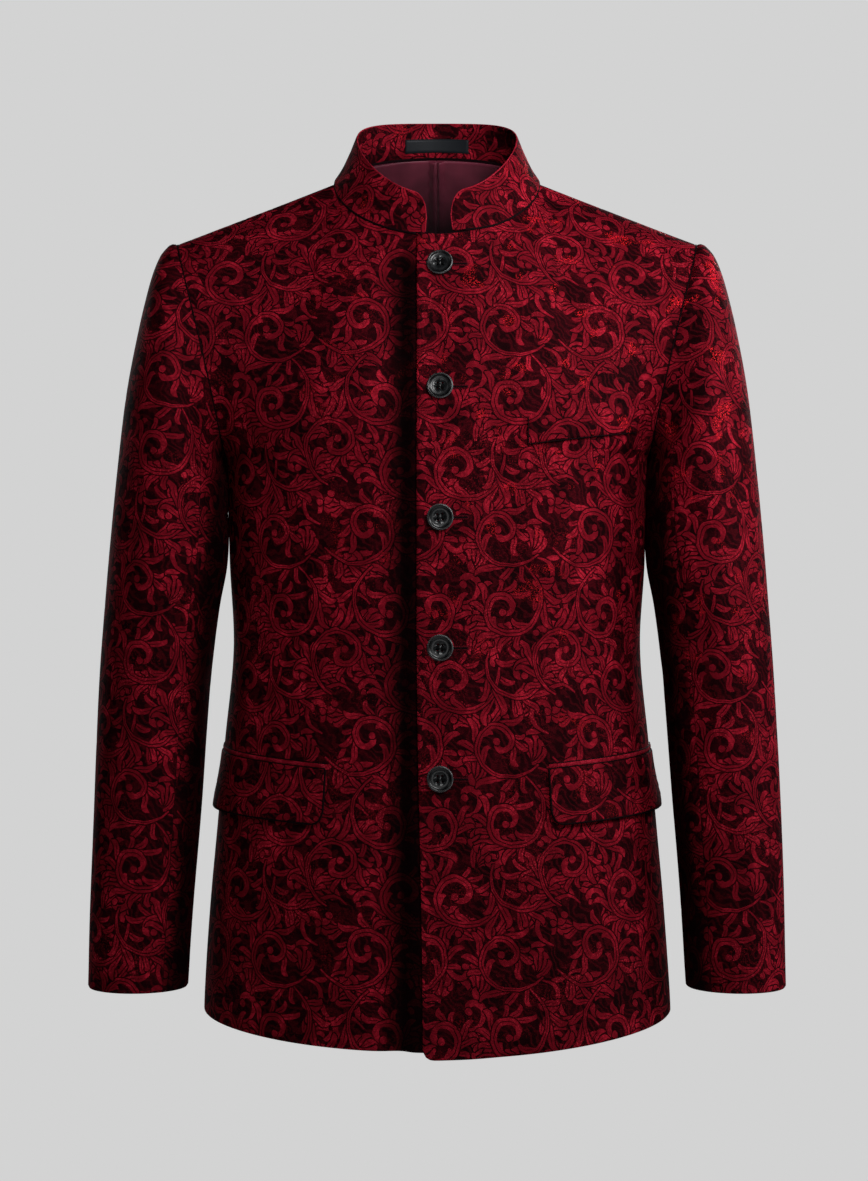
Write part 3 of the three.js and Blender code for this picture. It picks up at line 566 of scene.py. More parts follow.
class Chart:
    """Shapes in the order that they are laid. Each covers what lies under it, with a dark line round it."""

    def __init__(self):
        self.shapes = []

    def draw(self, path, half, figure=True, outline=OUTLINE):
        if outline:
            wide = path.copy()
            wide[0] -= heading(path)[0] * outline * 0.8
            wide[-1] += heading(path)[-1] * outline * 0.8
            self.shapes.append((band(wide, half + outline), False))
        self.shapes.append((band(path, half), figure))

    def vein(self, path, half):
        self.draw(path, half * np.sin(np.pi * np.linspace(0.05, 0.95, len(path))) ** 0.5, False, 0)

    def veined(self, path, half, vein):
        self.draw(path, half)
        self.vein(path[1:-3], vein)

    def disc(self, x, y, radius):
        ring = circle(np.arange(0, 360, 36))
        self.shapes.append((wobbled(ring * (radius + OUTLINE) + (x, y)), False))
        self.shapes.append((wobbled(ring * radius + (x, y)), True))

    def tuft(self, path, way, i, hand, size):
        for row in TUFT:
            k = max(0, min(len(path) - 1, i - 2 + row["back"]))
            length, width = TUFT_LENGTH * row["long"] * size, row["wide"] * size**0.5
            angle, bend, tip = way[k] - hand * row["off"], hand * row["bend"], hand * row["tip"]
            self.veined(*leaf(*path[k], angle, length, width, bend, tip), LEAF_VEIN)

    def scroll(self, x, y, radius, start, turns, hand, width, tufts):
        path, t = spiral(x, y, radius, start, turns, hand)
        last = len(path) - 1
        way = np.degrees(np.arctan2(*heading(path).T[::-1]))
        for k in range(tufts):
            at = TUFTS["first"] + TUFTS["reach"] * k / (tufts - 1)
            self.tuft(path, way, int(at * last), hand, TUFTS["size"] - TUFTS["shrink"] * at)
        half = width / 2 * np.interp(t, *SCROLL_SWELL)
        self.draw(path, half)
        for row in INNER_LEAVES:
            i = int(row["at"] * last)
            angle, length = way[i] + hand * row["off"], radius * row["long"]
            bend, tip = hand * INNER_BEND, hand * INNER_TIP
            self.veined(*leaf(*path[i], angle, length, row["wide"], bend, tip, 10), INNER_VEIN)
        # the stem runs on over its own leaves
        self.draw(path, half, outline=0)
        self.vein(path[2:int(len(path) * VEINED)], SCROLL_VEIN)
        self.disc(*path[-1], width * SCROLL_DISC)

    def hook(self, x, y, radius, start, turns, hand, width):
        path, t = spiral(x, y, radius, start, turns, hand, step=18, tail=2.4, eye=0.42)
        way = np.degrees(np.arctan2(*heading(path).T[::-1]))
        one = HOOK_LEAF
        for at in HOOK_LEAVES:
            i = int(at * (len(path) - 1))
            angle, bend, tip = way[i] - hand * one["off"], hand * one["bend"], -hand * one["tip"]
            self.draw(*leaf(*path[i], angle, one["length"], one["width"], bend, tip, 8))
        self.draw(path, width / 2 * np.interp(t, *HOOK_SWELL))
        self.disc(*path[-1], width * HOOK_DISC)

    def plume(self, x, y, angle, length, leaves, spread, sweep):
        middle = (leaves - 1) / 2
        hand = 1 if sweep > 0 else -1
        one = PLUME_LEAF
        for k in sorted(range(leaves), key=lambda k: hand * k):
            off = (k - middle) / middle
            way, long = angle + off * spread * one["fan"], length * (1 - one["shorter"] * abs(off))
            bend, tip = -sweep * one["bend"], -hand * one["tip"]
            self.veined(*leaf(x, y, way, long, one["width"] - abs(off), bend, tip), LEAF_VEIN)


def inside(outline, points):
    """Which points lie in a closed outline."""
    a, b = outline, np.roll(outline, -1, 0)
    x, y = points[:, 0][:, None], points[:, 1][:, None]
    side = (b[:, 0] - a[:, 0]) * (y - a[:, 1]) - (x - a[:, 0]) * (b[:, 1] - a[:, 1])
    rising = (a[:, 1] <= y) & (b[:, 1] > y) & (side > 0)
    falling = (a[:, 1] > y) & (b[:, 1] <= y) & (side < 0)
    return rising.sum(1) != falling.sum(1)


def inside_many(outline, points):
    blocks = range(0, len(points), BLOCK)
    return np.concatenate([inside(outline, points[k:k + BLOCK]) for k in blocks])


def sides_of(faces):
    return np.concatenate([faces[:, [0, 1]], faces[:, [1, 2]], faces[:, [2, 0]]])


def triangulate(points, edges):
    verts, _, faces, *_ = delaunay_2d_cdt([Vector(p) for p in points], edges, [], 0, 1e-5, False)
    return np.array([v[:] for v in verts]), np.array(faces, int)


class Damask:
    """The repeat, as the lines between figure and ground, and the test of which is which."""

    def __init__(self):
        chart = Chart()
        for draw, rows in ((chart.plume, PLUMES), (chart.hook, HOOKS), (chart.scroll, SCROLLS)):
            for row in rows:
                draw(**row)
        self.shapes = []
        for outline, figure in chart.shapes:
            for shift in itertools.product((-1, 0, 1), (-1, 0, 1)):
                moved = outline + np.multiply(shift, TILE)
                if (moved.max(0) > 0).all() and (moved.min(0) < TILE).all():
                    self.shapes.append((moved, figure))
        self.lines = self.visible_lines()

    def figure_at(self, points):
        points = points % TILE
        found = np.zeros(len(points), bool)
        for outline, figure in self.shapes:
            near = ((points >= outline.min(0)) & (points <= outline.max(0))).all(1).nonzero()[0]
            if len(near):
                found[near[inside(outline, points[near])]] = figure
        return found

    def visible_lines(self):
        points, edges = [], []
        frame_line = np.array([(0, 0), (TILE[0], 0), TILE, (0, TILE[1])])
        for outline in [outline for outline, _ in self.shapes] + [frame_line]:
            first = len(points)
            points += [tuple(p) for p in outline]
            edges += [(first + i, first + (i + 1) % len(outline)) for i in range(len(outline))]
        verts, faces = triangulate(points, edges)
        middle = verts[faces].mean(1)
        kept = ((middle > 0) & (middle < TILE)).all(1)
        faces, figure = faces[kept], self.figure_at(middle[kept])
        sides, figure = np.sort(sides_of(faces), 1), np.tile(figure, 3)
        order = np.lexsort((sides[:, 1], sides[:, 0]))
        sides, figure = sides[order], figure[order]
        shared = (sides[1:] == sides[:-1]).all(1) & (figure[1:] != figure[:-1])
        return [verts[line] for line in thin(verts, chains(sides[1:][shared]), LINE_TRUE)]


def chains(edges):
    """Joins edges end to end into lines, which break where more than two edges meet."""
    links = {}
    for a, b in edges.tolist():
        links.setdefault(a, []).append(b)
        links.setdefault(b, []).append(a)
    used, lines = set(), []

    def follow(a, b):
        line = [a, b]
        used.add((min(a, b), max(a, b)))
        while len(links[line[-1]]) == 2:
            nexts = [n for n in links[line[-1]] if (min(n, line[-1]), max(n, line[-1])) not in used]
            if not nexts:
                break
            used.add((min(nexts[0], line[-1]), max(nexts[0], line[-1])))
            line.append(nexts[0])
        return line

    ends = [a for a in links if len(links[a]) != 2]
    for a in ends + list(links):
        for b in links[a]:
            if (min(a, b), max(a, b)) not in used:
                lines.append(follow(a, b))
    return lines


def thin(verts, lines, within):
    """Leaves out the points of each line that lie close to a straight line between others."""
    def reduce(line):
        if len(line) < 3:
            return line
        p = verts[line]
        chord = p[-1] - p[0]
        length = np.hypot(*chord)
        if length < 1e-6:
            off = np.linalg.norm(p - p[0], axis=1)
        else:
            off = np.abs(chord[0] * (p[:, 1] - p[0, 1]) - chord[1] * (p[:, 0] - p[0, 0])) / length
        k = int(off.argmax())
        if off[k] < within or k in (0, len(line) - 1):
            return [line[0], line[-1]]
        return reduce(line[:k + 1])[:-1] + reduce(line[k:])

    return [reduce(line) for line in lines]


# ------------------------------------------------------------------ materials
def shader(name, **values):
    material = bpy.data.materials.new(name)
    material.use_nodes = True
    tree = material.node_tree
    surface = tree.nodes["Principled BSDF"]
    for key, value in values.items():
        surface.inputs[key.replace("_", " ")].default_value = value
    return material, tree, surface


def node(tree, kind, inputs=None, **settings):
    made = tree.nodes.new(kind)
    for key, value in settings.items():
        setattr(made, key, value)
    for key, value in (inputs or {}).items():
        if isinstance(value, bpy.types.NodeSocket):
            tree.links.new(value, made.inputs[key])
        else:
            made.inputs[key].default_value = value
    return made


def srgb(r, g, b):
    def linear(c):
        c /= 255
        return c / 12.92 if c <= 0.04045 else ((c + 0.055) / 1.055) ** 2.4

    return (linear(r), linear(g), linear(b), 1)


def noise(tree, place, scale, detail=3, rough=0.6, stretch=None):
    if stretch:
        place = node(tree, "ShaderNodeMapping", {"Vector": place, "Scale": stretch}).outputs[0]
    return node(
        tree, "ShaderNodeTexNoise", {"Vector": place, "Scale": scale, "Detail": detail, "Roughness": rough}
    ).outputs["Fac"]


def ramp(tree, value, low, high):
    """0 below low and 1 above high."""
    return node(
        tree, "ShaderNodeMapRange", {"Value": value, "From Min": low, "From Max": high}, clamp=True
    ).outputs[0]


def mix(tree, factor, a, b):
    made = node(tree, "ShaderNodeMix", {0: factor, 6: a, 7: b}, data_type="RGBA")
    return made.outputs[2]


def times(tree, a, b):
    return node(tree, "ShaderNodeMath", {0: a, 1: b}, operation="MULTIPLY").outputs[0]


def plus(tree, a, b):
    return node(tree, "ShaderNodeMath", {0: a, 1: b}, operation="ADD").outputs[0]


# Where shade is painted into the velvet's colour, in metres: from none at the first value to the whole share
# at the second.
# painted shadow beside the edge that laps over the right front
LAP_SHADE = dict(x=(-0.047, -0.029), z=(-0.058, -0.082), share=0.93)
# painted shade on the sleeves' inner sides, next to the body
ARM_SHADE = dict(slope=0.0877, out=(0.177, 0.163), share=0.92)


def painted_lap_shadow(tree, at):
    """Painted shadow: the cloth is darkened beside the edge that laps over it, where that edge's shadow
    falls.
    """
    beside = ramp(tree, at.outputs["X"], *LAP_SHADE["x"])
    below = ramp(tree, at.outputs["Z"], *LAP_SHADE["z"])
    return times(tree, times(tree, beside, below), LAP_SHADE["share"])


def painted_arm_shade(tree, at):
    """Painted shade on a sleeve's inner side, next to the body, whose line slopes out towards the cuff."""
    out = node(tree, "ShaderNodeMath", {0: at.outputs["X"]}, operation="ABSOLUTE").outputs[0]
    from_line = plus(tree, out, times(tree, at.outputs["Z"], ARM_SHADE["slope"]))
    return times(tree, ramp(tree, from_line, *ARM_SHADE["out"]), ARM_SHADE["share"])


def finish(tree, surface, base, relief, strength, distance):
    """Gives a material its colour and its fine relief."""
    tree.links.new(base, surface.inputs["Base Color"])
    bump = node(tree, "ShaderNodeBump", {"Strength": strength, "Distance": distance, "Height": relief})
    tree.links.new(bump.outputs[0], surface.inputs["Normal"])


def vary_roughness(tree, surface, value, low, high):
    rough = node(tree, "ShaderNodeMapRange", {"Value": value, "To Min": low, "To Max": high}).outputs[0]
    tree.links.new(rough, surface.inputs["Roughness"])


# The velvet's noises: scale, detail, roughness, and the stretch that makes threads of one.
VELVET_NOISES = dict(
    nap=(55, 4, 0.65),
    cloud=(17, 3, 0.6),
    pile=(1100, 2, 0.7),
    threads=(1, 2, 0.5, (380, 380, 1500)),
    grains=(800, 1, 0.5),
    patches=(30, 3, 0.6),
    sparks=(1100, 1, 0.5),
    spots=(44, 2, 0.5),
)
SWIRLS = {"Scale": 62, "Distortion": 15, "Detail": 2, "Detail Scale": 1.0, "Detail Roughness": 0.5}
# the last two are the lurex's bright colour, which is partly a painted highlight, and the colour of painted
# shade
SHEEN_TINT, LUREX_GLINT, PAINTED_SHADE_TONE = srgb(220, 30, 50), srgb(255, 34, 44), srgb(7, 0, 1)


def velvet(name, low, middle, high, fleck, swirl, fleck_share, swirl_share, sheen, painted_shade=None):
    """Cut pile: patchy nap with faint swirls, a fine grain of threads, bright flecks in patches, lurex glints
    that are partly painted highlight, and painted shade where a mask is given.
    """
    material, tree, surface = shader(
        name,
        Roughness=0.8,
        Sheen_Weight=sheen,
        Sheen_Roughness=0.3,
        Sheen_Tint=SHEEN_TINT,
        Specular_IOR_Level=0.04,
    )
    place = node(tree, "ShaderNodeTexCoord").outputs["Object"]
    at = node(tree, "ShaderNodeSeparateXYZ", {"Vector": place})
    value = {key: noise(tree, place, *settings) for key, settings in VELVET_NOISES.items()}
    swirls = node(tree, "ShaderNodeTexWave", {"Vector": place, **SWIRLS}, bands_direction="DIAGONAL")
    base = mix(tree, ramp(tree, value["nap"], 0.3, 0.62), low, middle)
    # each tone covers a share of what is under it, as its noise goes from the one value to the other
    for tone, share, cover, start, end in (
        (high, 0.9, value["nap"], 0.5, 0.72),
        (low, 0.45, value["cloud"], 0.55, 0.36),
        (swirl, swirl_share, swirls.outputs["Fac"], 0.5, 0.85),
        (low, 0.55, value["pile"], 0.56, 0.36),
        (low, 0.4, value["threads"], 0.6, 0.4),
    ):
        base = mix(tree, times(tree, ramp(tree, cover, start, end), share), base, tone)
    flecks = times(tree, ramp(tree, value["grains"], 0.56, 0.64), ramp(tree, value["patches"], 0.5, 0.66))
    base = mix(tree, times(tree, flecks, fleck_share), base, fleck)
    # lurex shows here and there, but its bright glints are gathered high on the wearer's left, where the
    # light falls most, so they are partly painted highlight
    sparks = times(tree, ramp(tree, value["sparks"], 0.57, 0.63), ramp(tree, value["spots"], 0.61, 0.67))
    height, lit_side = ramp(tree, at.outputs["Z"], -0.62, -0.1), ramp(tree, at.outputs["X"], -0.16, 0.16)
    sparks = times(tree, sparks, times(tree, height, lit_side))
    base = mix(tree, sparks, base, LUREX_GLINT)
    # painted shade: the colour darkens where the given mask says shade falls
    if painted_shade:
        base = mix(tree, painted_shade(tree, at), base, PAINTED_SHADE_TONE)
    relief = plus(tree, times(tree, value["pile"], 0.8), times(tree, value["threads"], 0.7))
    finish(tree, surface, base, relief, 0.6, 0.0007)
    vary_roughness(tree, surface, sparks, 0.8, 0.3)
    return material


def satin(name, deep, light, gloss, painted_shade_below=None):
    """A fine weave with a soft shine, and painted shade that can darken it from one height down to another.
    """
    material, tree, surface = shader(
        name, Roughness=0.42, Sheen_Weight=gloss / 2, Sheen_Roughness=0.4, Specular_IOR_Level=gloss
    )
    place = node(tree, "ShaderNodeTexCoord").outputs["Object"]
    cloud = noise(tree, place, 18)
    weave = noise(tree, place, 1, 2, 0.5, stretch=(300, 300, 2200))
    base = mix(tree, ramp(tree, cloud, 0.3, 0.7), deep, light)
    # painted shade: darker lower down inside, where little light comes in
    if painted_shade_below:
        height = node(tree, "ShaderNodeSeparateXYZ", {"Vector": place}).outputs["Z"]
        base = mix(tree, times(tree, ramp(tree, height, *painted_shade_below), 0.92), base, srgb(10, 2, 5))
    finish(tree, surface, base, weave, 0.15, 0.0003)
    return material


def thread(name, deep, light):
    """Twisted sewing thread."""
    material, tree, surface = shader(name, Roughness=0.8, Specular_IOR_Level=0.08)
    place = node(tree, "ShaderNodeTexCoord").outputs["Object"]
    twist = noise(tree, place, 1, 2, 0.5, stretch=(2600, 2600, 900))
    finish(tree, surface, mix(tree, ramp(tree, twist, 0.35, 0.65), deep, light), twist, 0.5, 0.0004)
    return material


def horn(name, deep, light):
    """Polished resin, a little clouded."""
    material, tree, surface = shader(name, Coat_Weight=0.2, Coat_Roughness=0.2, Specular_IOR_Level=0.35)
    place = node(tree, "ShaderNodeTexCoord").outputs["Object"]
    cloud = noise(tree, place, 260, 4, 0.6)
    finish(tree, surface, mix(tree, ramp(tree, cloud, 0.35, 0.75), deep, light), cloud, 0.08, 0.0003)
    vary_roughness(tree, surface, cloud, 0.24, 0.42)
    return material


GROUND_TONES = dict(
    low=srgb(17, 0, 2),
    middle=srgb(44, 1, 8),
    high=srgb(66, 3, 13),
    fleck=srgb(134, 13, 28),
    swirl=srgb(84, 6, 18),
    fleck_share=0.5,
    swirl_share=0.62,
    sheen=0.0,
)
FIGURE_TONES = dict(
    low=srgb(95, 7, 20),
    middle=srgb(153, 18, 38),
    high=srgb(214, 37, 60),
    fleck=srgb(232, 52, 72),
    swirl=srgb(105, 8, 23),
    fleck_share=0.45,
    swirl_share=0.5,
    sheen=0.04,
)
# Brighter velvet, a painted highlight for the collar's turned edge and for the jets.
FOLD_HIGHLIGHT_TONES = dict(
    low=srgb(120, 14, 30),
    middle=srgb(168, 30, 50),
    high=srgb(196, 52, 72),
    fleck=srgb(214, 70, 90),
    swirl=srgb(168, 30, 50),
    fleck_share=0.5,
    swirl_share=0.3,
    sheen=0.1,
)
GROUND = velvet("velvet_ground", **GROUND_TONES)
FIGURE = velvet("velvet_figure", **FIGURE_TONES)
# copies of the velvet with painted shade: beside the lapping edge, and on the sleeves' inner sides
GROUND_LAP_SHADOW = velvet("velvet_ground_lap_shadow", **GROUND_TONES, painted_shade=painted_lap_shadow)
FIGURE_LAP_SHADOW = velvet("velvet_figure_lap_shadow", **FIGURE_TONES, painted_shade=painted_lap_shadow)
GROUND_ARM_SHADE = velvet("velvet_ground_arm_shade", **GROUND_TONES, painted_shade=painted_arm_shade)
FIGURE_ARM_SHADE = velvet("velvet_figure_arm_shade", **FIGURE_TONES, painted_shade=painted_arm_shade)
FOLD_HIGHLIGHT = velvet("velvet_fold_highlight", **FOLD_HIGHLIGHT_TONES)
# the lining's painted shade darkens it from the neck down
SATIN = satin("lining_satin", srgb(58, 19, 31), srgb(132, 50, 71), 0.4, (0.03, -0.028))
RIBBON = satin("label_ribbon", srgb(20, 22, 26), srgb(32, 35, 39), 0.1)
# dark thread, which also colours the painted shadow lines
SEAM_THREAD_AND_SHADOW = thread("seam_thread_and_shadow", srgb(8, 0, 2), srgb(20, 1, 5))
HOLE_THREAD = thread("buttonhole_thread", srgb(52, 5, 13), srgb(96, 12, 26))
BUTTON_THREAD = thread("button_thread", srgb(6, 6, 7), srgb(18, 18, 19))
HORN = horn("button_horn", srgb(4, 4, 5), srgb(12, 12, 13))
HORN_DISH = horn("button_dish", srgb(10, 11, 12), srgb(30, 32, 34))
# the bright rim line's colour, a painted highlight
HORN_RIM_HIGHLIGHT = horn("button_rim_highlight", srgb(62, 65, 67), srgb(108, 112, 114))


# ------------------------------------------------------------------ meshes
def add_mesh(name, points, faces, materials, of_face=None, normals=None):
    """A piece from points in millimetres. It rides on the jacket's one body."""
    mesh = bpy.data.meshes.new(name)
    faces = [np.asarray(f, int) for f in (faces if isinstance(faces, list) else [faces])]
    sizes = np.concatenate([np.full(len(f), f.shape[1]) for f in faces])
    corners = np.concatenate([f.ravel() for f in faces])
    mesh.vertices.add(len(points))
    mesh.vertices.foreach_set("co", (np.asarray(points) * MM).ravel())
    mesh.loops.add(len(corners))
    mesh.loops.foreach_set("vertex_index", corners)
    mesh.polygons.add(len(sizes))
    mesh.polygons.foreach_set("loop_start", np.concatenate([[0], np.cumsum(sizes)[:-1]]))
    mesh.polygons.foreach_set("use_smooth", np.ones(len(sizes), bool))
    for material in materials:
        mesh.materials.append(material)
    if of_face is not None:
        mesh.polygons.foreach_set("material_index", np.asarray(of_face, np.int32))
    mesh.update(calc_edges=True)
    mesh.validate()
    if normals is not None:
        mesh.normals_split_custom_set_from_vertices(normals)
    made = bpy.data.objects.new(name, mesh)
    bpy.context.scene.collection.objects.link(made)
    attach(made, "root")
    return made


# How an edge turns in: how deep, over what reach, and how much its normals roll over.
EDGES = {
    "seam": dict(dip=0.75, reach=2.4, roll=0.35),
    "free": dict(dip=1.05, reach=1.7, roll=0.9),
}
# The most of a cloth's thickness that an edge may sink, on its outer and on its inner face.
OUTER_SINK, INNER_SINK = 0.48, 0.45


class Piece:
    """A cut piece of cloth: its outer net, the outward directions on it and its flat coordinates.

    The borders are those at the first and the last column and at the first and the last row."""

    def __init__(self, name, net, n, flat, thick, borders):
        self.name, self.net, self.n, self.flat = name, net, n, flat
        self.thick, self.borders = thick, borders
        across, up = arcs(net, 1), arcs(net, 0)
        self.to_border = [across, across[:, -1:] - across, up, up[-1:] - up]
        along, rise = unit(np.gradient(net, axis=1)), unit(np.gradient(net, axis=0))
        self.outwards = [-along, along, -rise, rise]
        self.cells = np.array(net.shape[1::-1]) - 1
        self.length = np.array((across[:, -1].mean(), up[-1].mean()))

    def steps(self, spacing):
        return [max(2, round(length / spacing)) for length in self.length]

    def rim(self, spacing, inset=0):
        """Places round the piece, that far in from its border, going round once."""
        (w, h), (nw, nh) = self.cells, self.steps(spacing)
        i0, j0 = inset / self.length * self.cells
        i, j = np.linspace(i0, w - i0, nw + 1), np.linspace(j0, h - j0, nh + 1)
        bottom = np.stack([i, np.full(nw + 1, j0)], 1)
        right = np.stack([np.full(nh + 1, w - i0), j], 1)
        top = np.stack([i[::-1], np.full(nw + 1, h - j0)], 1)
        left = np.stack([np.full(nh + 1, i0), j[::-1]], 1)
        return np.concatenate([bottom[:-1], right[:-1], top[:-1], left[:-1]])

    def grid(self, spacing):
        """Places within the piece, every other row a little further on."""
        (w, h), (nw, nh) = self.cells, self.steps(spacing)
        i, j = np.meshgrid((np.arange(nw - 1) + 1) / nw * w, (np.arange(nh - 1) + 1) / nh * h)
        i = i + np.where(np.arange(nh - 1) % 2, 0.25, -0.25)[:, None] * w / nw
        return np.stack([i.ravel(), j.ravel()], 1)

    def skin(self, at, inner):
        """Points and normals of the outer or the inner face at those places."""
        p, n = sample_smooth(self.net, at), sample(self.n, at)
        n /= np.linalg.norm(n, axis=1, keepdims=True)
        sunk, tilt = np.zeros(len(at)), n * (-1.0 if inner else 1.0)
        for border, distance, outward in zip(self.borders, self.to_border, self.outwards):
            edge = EDGES[border]
            near = np.clip(1 - sample(distance, at) / edge["reach"], 0, 1)
            sunk = np.maximum(sunk, edge["dip"] * near**2)
            tilt = tilt + sample(outward, at) * (edge["roll"] * near)[:, None]
        if inner:
            depth = self.thick - np.minimum(sunk, self.thick * INNER_SINK)
        else:
            depth = np.minimum(sunk, self.thick * OUTER_SINK)
        return p - n * depth[:, None], tilt / np.linalg.norm(tilt, axis=1, keepdims=True)


# Which of a piece's materials its inner face has, after the ground and the figure.
INSIDE = 2
# Extra points follow the border at these distances, for the rolled edge, and fill the rest more thinly. Each
# row gives the distance in from the border, and the spacing for the border's own.
OUTER_RIMS, OUTER_FILL = ((1.1, 1.0), (2.6, 1.3)), 2.5
INNER_RIMS, INNER_FILL = ((1.6, 1.3),), 3


def loose_points(piece, spacing, rims, fill):
    places = [piece.rim(spacing * wider, inset) for inset, wider in rims]
    return sample(piece.flat, np.concatenate(places + [piece.grid(spacing * fill)]))


def cut_out(piece, damask, shift, spacing):
    """The flat piece in triangles, cut along the damask's lines, and which of them are figure."""
    outline = sample(piece.flat, piece.rim(spacing))
    points = [tuple(p) for p in outline]
    edges = [(k, (k + 1) % len(points)) for k in range(len(points))]
    points += [tuple(p) for p in loose_points(piece, spacing, OUTER_RIMS, OUTER_FILL)]
    if damask:
        low, high = outline.min(0), outline.max(0)
        first_tile, last_tile = (np.floor((corner + shift) / TILE).astype(int) for corner in (low, high))
        for tile in itertools.product(*(range(a, b + 1) for a, b in zip(first_tile, last_tile))):
            for line in damask.lines:
                line = line + (np.multiply(tile, TILE) - shift)
                if (line.max(0) < low).any() or (line.min(0) > high).any():
                    continue
                first = len(points)
                points += [tuple(p) for p in line]
                edges += [(first + k, first + k + 1) for k in range(len(line) - 1)]
    verts, faces = triangulate(points, edges)
    faces = faces[inside_many(outline, verts[faces].mean(1))]
    used, faces = np.unique(faces, return_inverse=True)
    verts, faces = verts[used], faces.reshape(-1, 3)
    figure = damask.figure_at(verts[faces].mean(1) + shift) if damask else np.zeros(len(faces), bool)
    return outline, verts, faces, figure


def cut_plain(piece, outline, verts, border, spacing):
    """The same piece in fewer triangles, for its inner face, and which point is each border point's twin."""
    ring = np.unique(border)
    number = {v: k for k, v in enumerate(ring.tolist())}
    points = np.concatenate([verts[ring], loose_points(piece, spacing, INNER_RIMS, INNER_FILL)])
    loop = [(number[a], number[b]) for a, b in border.tolist()]
    points, _, faces, origin, *_ = delaunay_2d_cdt([Vector(p) for p in points], loop, [], 0, 1e-6, True)
    points, faces = np.array([v[:] for v in points]), np.array(faces, int)
    faces = faces[inside_many(outline, points[faces].mean(1))]
    twin = np.full(len(verts), -1)
    for k, olds in enumerate(origin):
        for old in olds:
            if old < len(ring):
                twin[ring[old]] = k
    return points, faces, twin


def build(piece, damask, shift, materials, slot, spacing, replaces, inner_patterned=False):
    """Makes a piece's closed shell, with the damask cut to its flat shape."""
    outline, verts, faces, figure = cut_out(piece, damask, shift, spacing)
    at = place_of(piece.flat, verts)
    outer, outer_n = piece.skin(at, False)
    # the border's sides, which both faces of the cloth share, belong to one triangle alone
    sides = sides_of(faces)
    _, first, count = np.unique(np.sort(sides, 1), axis=0, return_index=True, return_counts=True)
    border = sides[first[count == 1]]
    if inner_patterned:
        inner_at, inner_faces, inner_of, twin = at, faces, figure.astype(int), np.arange(len(at))
    else:
        plain, inner_faces, twin = cut_plain(piece, outline, verts, border, spacing)
        inner_at = place_of(piece.flat, plain)
        inner_at[twin[twin >= 0]] = at[twin >= 0]
        inner_of = np.full(len(inner_faces), INSIDE)
    inner, inner_n = piece.skin(inner_at, True)
    a, b = border[(twin[border] >= 0).all(1)].T
    quads = np.stack([b, a, twin[a] + len(outer), twin[b] + len(outer)], 1)
    tris = np.concatenate([faces, inner_faces[:, ::-1] + len(outer)])
    p0, p1, p2 = (outer[faces[:, k]] for k in range(3))
    if (np.cross(p1 - p0, p2 - p0) * outer_n[faces[:, 0]]).sum() < 0:
        tris, quads = tris[:, ::-1], quads[:, ::-1]
    of_face = np.concatenate([figure.astype(int), inner_of, np.zeros(len(quads), int)])
    points, normals = np.concatenate([outer, inner]), np.concatenate([outer_n, inner_n])
    made = add_mesh(piece.name, points, [tris, quads], materials, of_face, normals)
    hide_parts(replaces)
    return made


# ------------------------------------------------------------------ creases
# Each crease runs from one place to another on a piece: x and z on the body, the turn and z on a sleeve.
# After the two places come its width and its height, which is below 0 where it sinks in.
BODY_CREASES = {
    (FRONT, LEFT): [
        (168, -205, 108, -330, 13, -1.7), (150, -212, 84, -300, 12, 1.3), (178, -300, 118, -402, 14, -1.5),
        (172, -372, 70, -430, 13, -1.5), (168, -400, 88, -448, 11, 1.2), (36, -306, 96, -360, 13, -1.0),
        (60, -560, 92, -700, 22, 1.8), (128, -565, 150, -712, 18, -1.6), (20, -560, 34, -716, 16, -1.2),
        (92, -92, 150, -160, 16, -1.0),
    ],
    (FRONT, RIGHT): [
        (170, -200, 112, -318, 13, -1.9), (154, -222, 90, -316, 11, 1.4), (176, -288, 128, -398, 15, -1.7),
        (170, -385, 62, -436, 13, -1.7), (164, -412, 92, -462, 11, 1.3), (66, -566, 84, -706, 20, 1.9),
        (118, -560, 142, -714, 17, -1.7), (36, -420, 42, -700, 16, -1.4), (96, -98, 144, -172, 15, -1.1),
    ],
    (BACK, LEFT): [
        (150, -190, 90, -330, 16, -2.0), (168, -250, 104, -372, 14, 1.6), (160, -352, 30, -408, 15, -2.1),
        (150, -384, 44, -428, 12, 1.7), (60, -520, 84, -706, 22, 2.0), (126, -540, 146, -712, 18, -1.8),
        (40, -60, 110, -110, 18, -1.3),
    ],
    (BACK, RIGHT): [
        (152, -200, 98, -322, 15, -2.1), (170, -262, 110, -384, 14, 1.5), (158, -340, 24, -396, 15, -2.0),
        (146, -372, 38, -420, 12, 1.6), (70, -530, 92, -708, 22, 1.9), (134, -548, 150, -710, 18, -1.7),
        (44, -66, 116, -118, 18, -1.2),
    ],
}
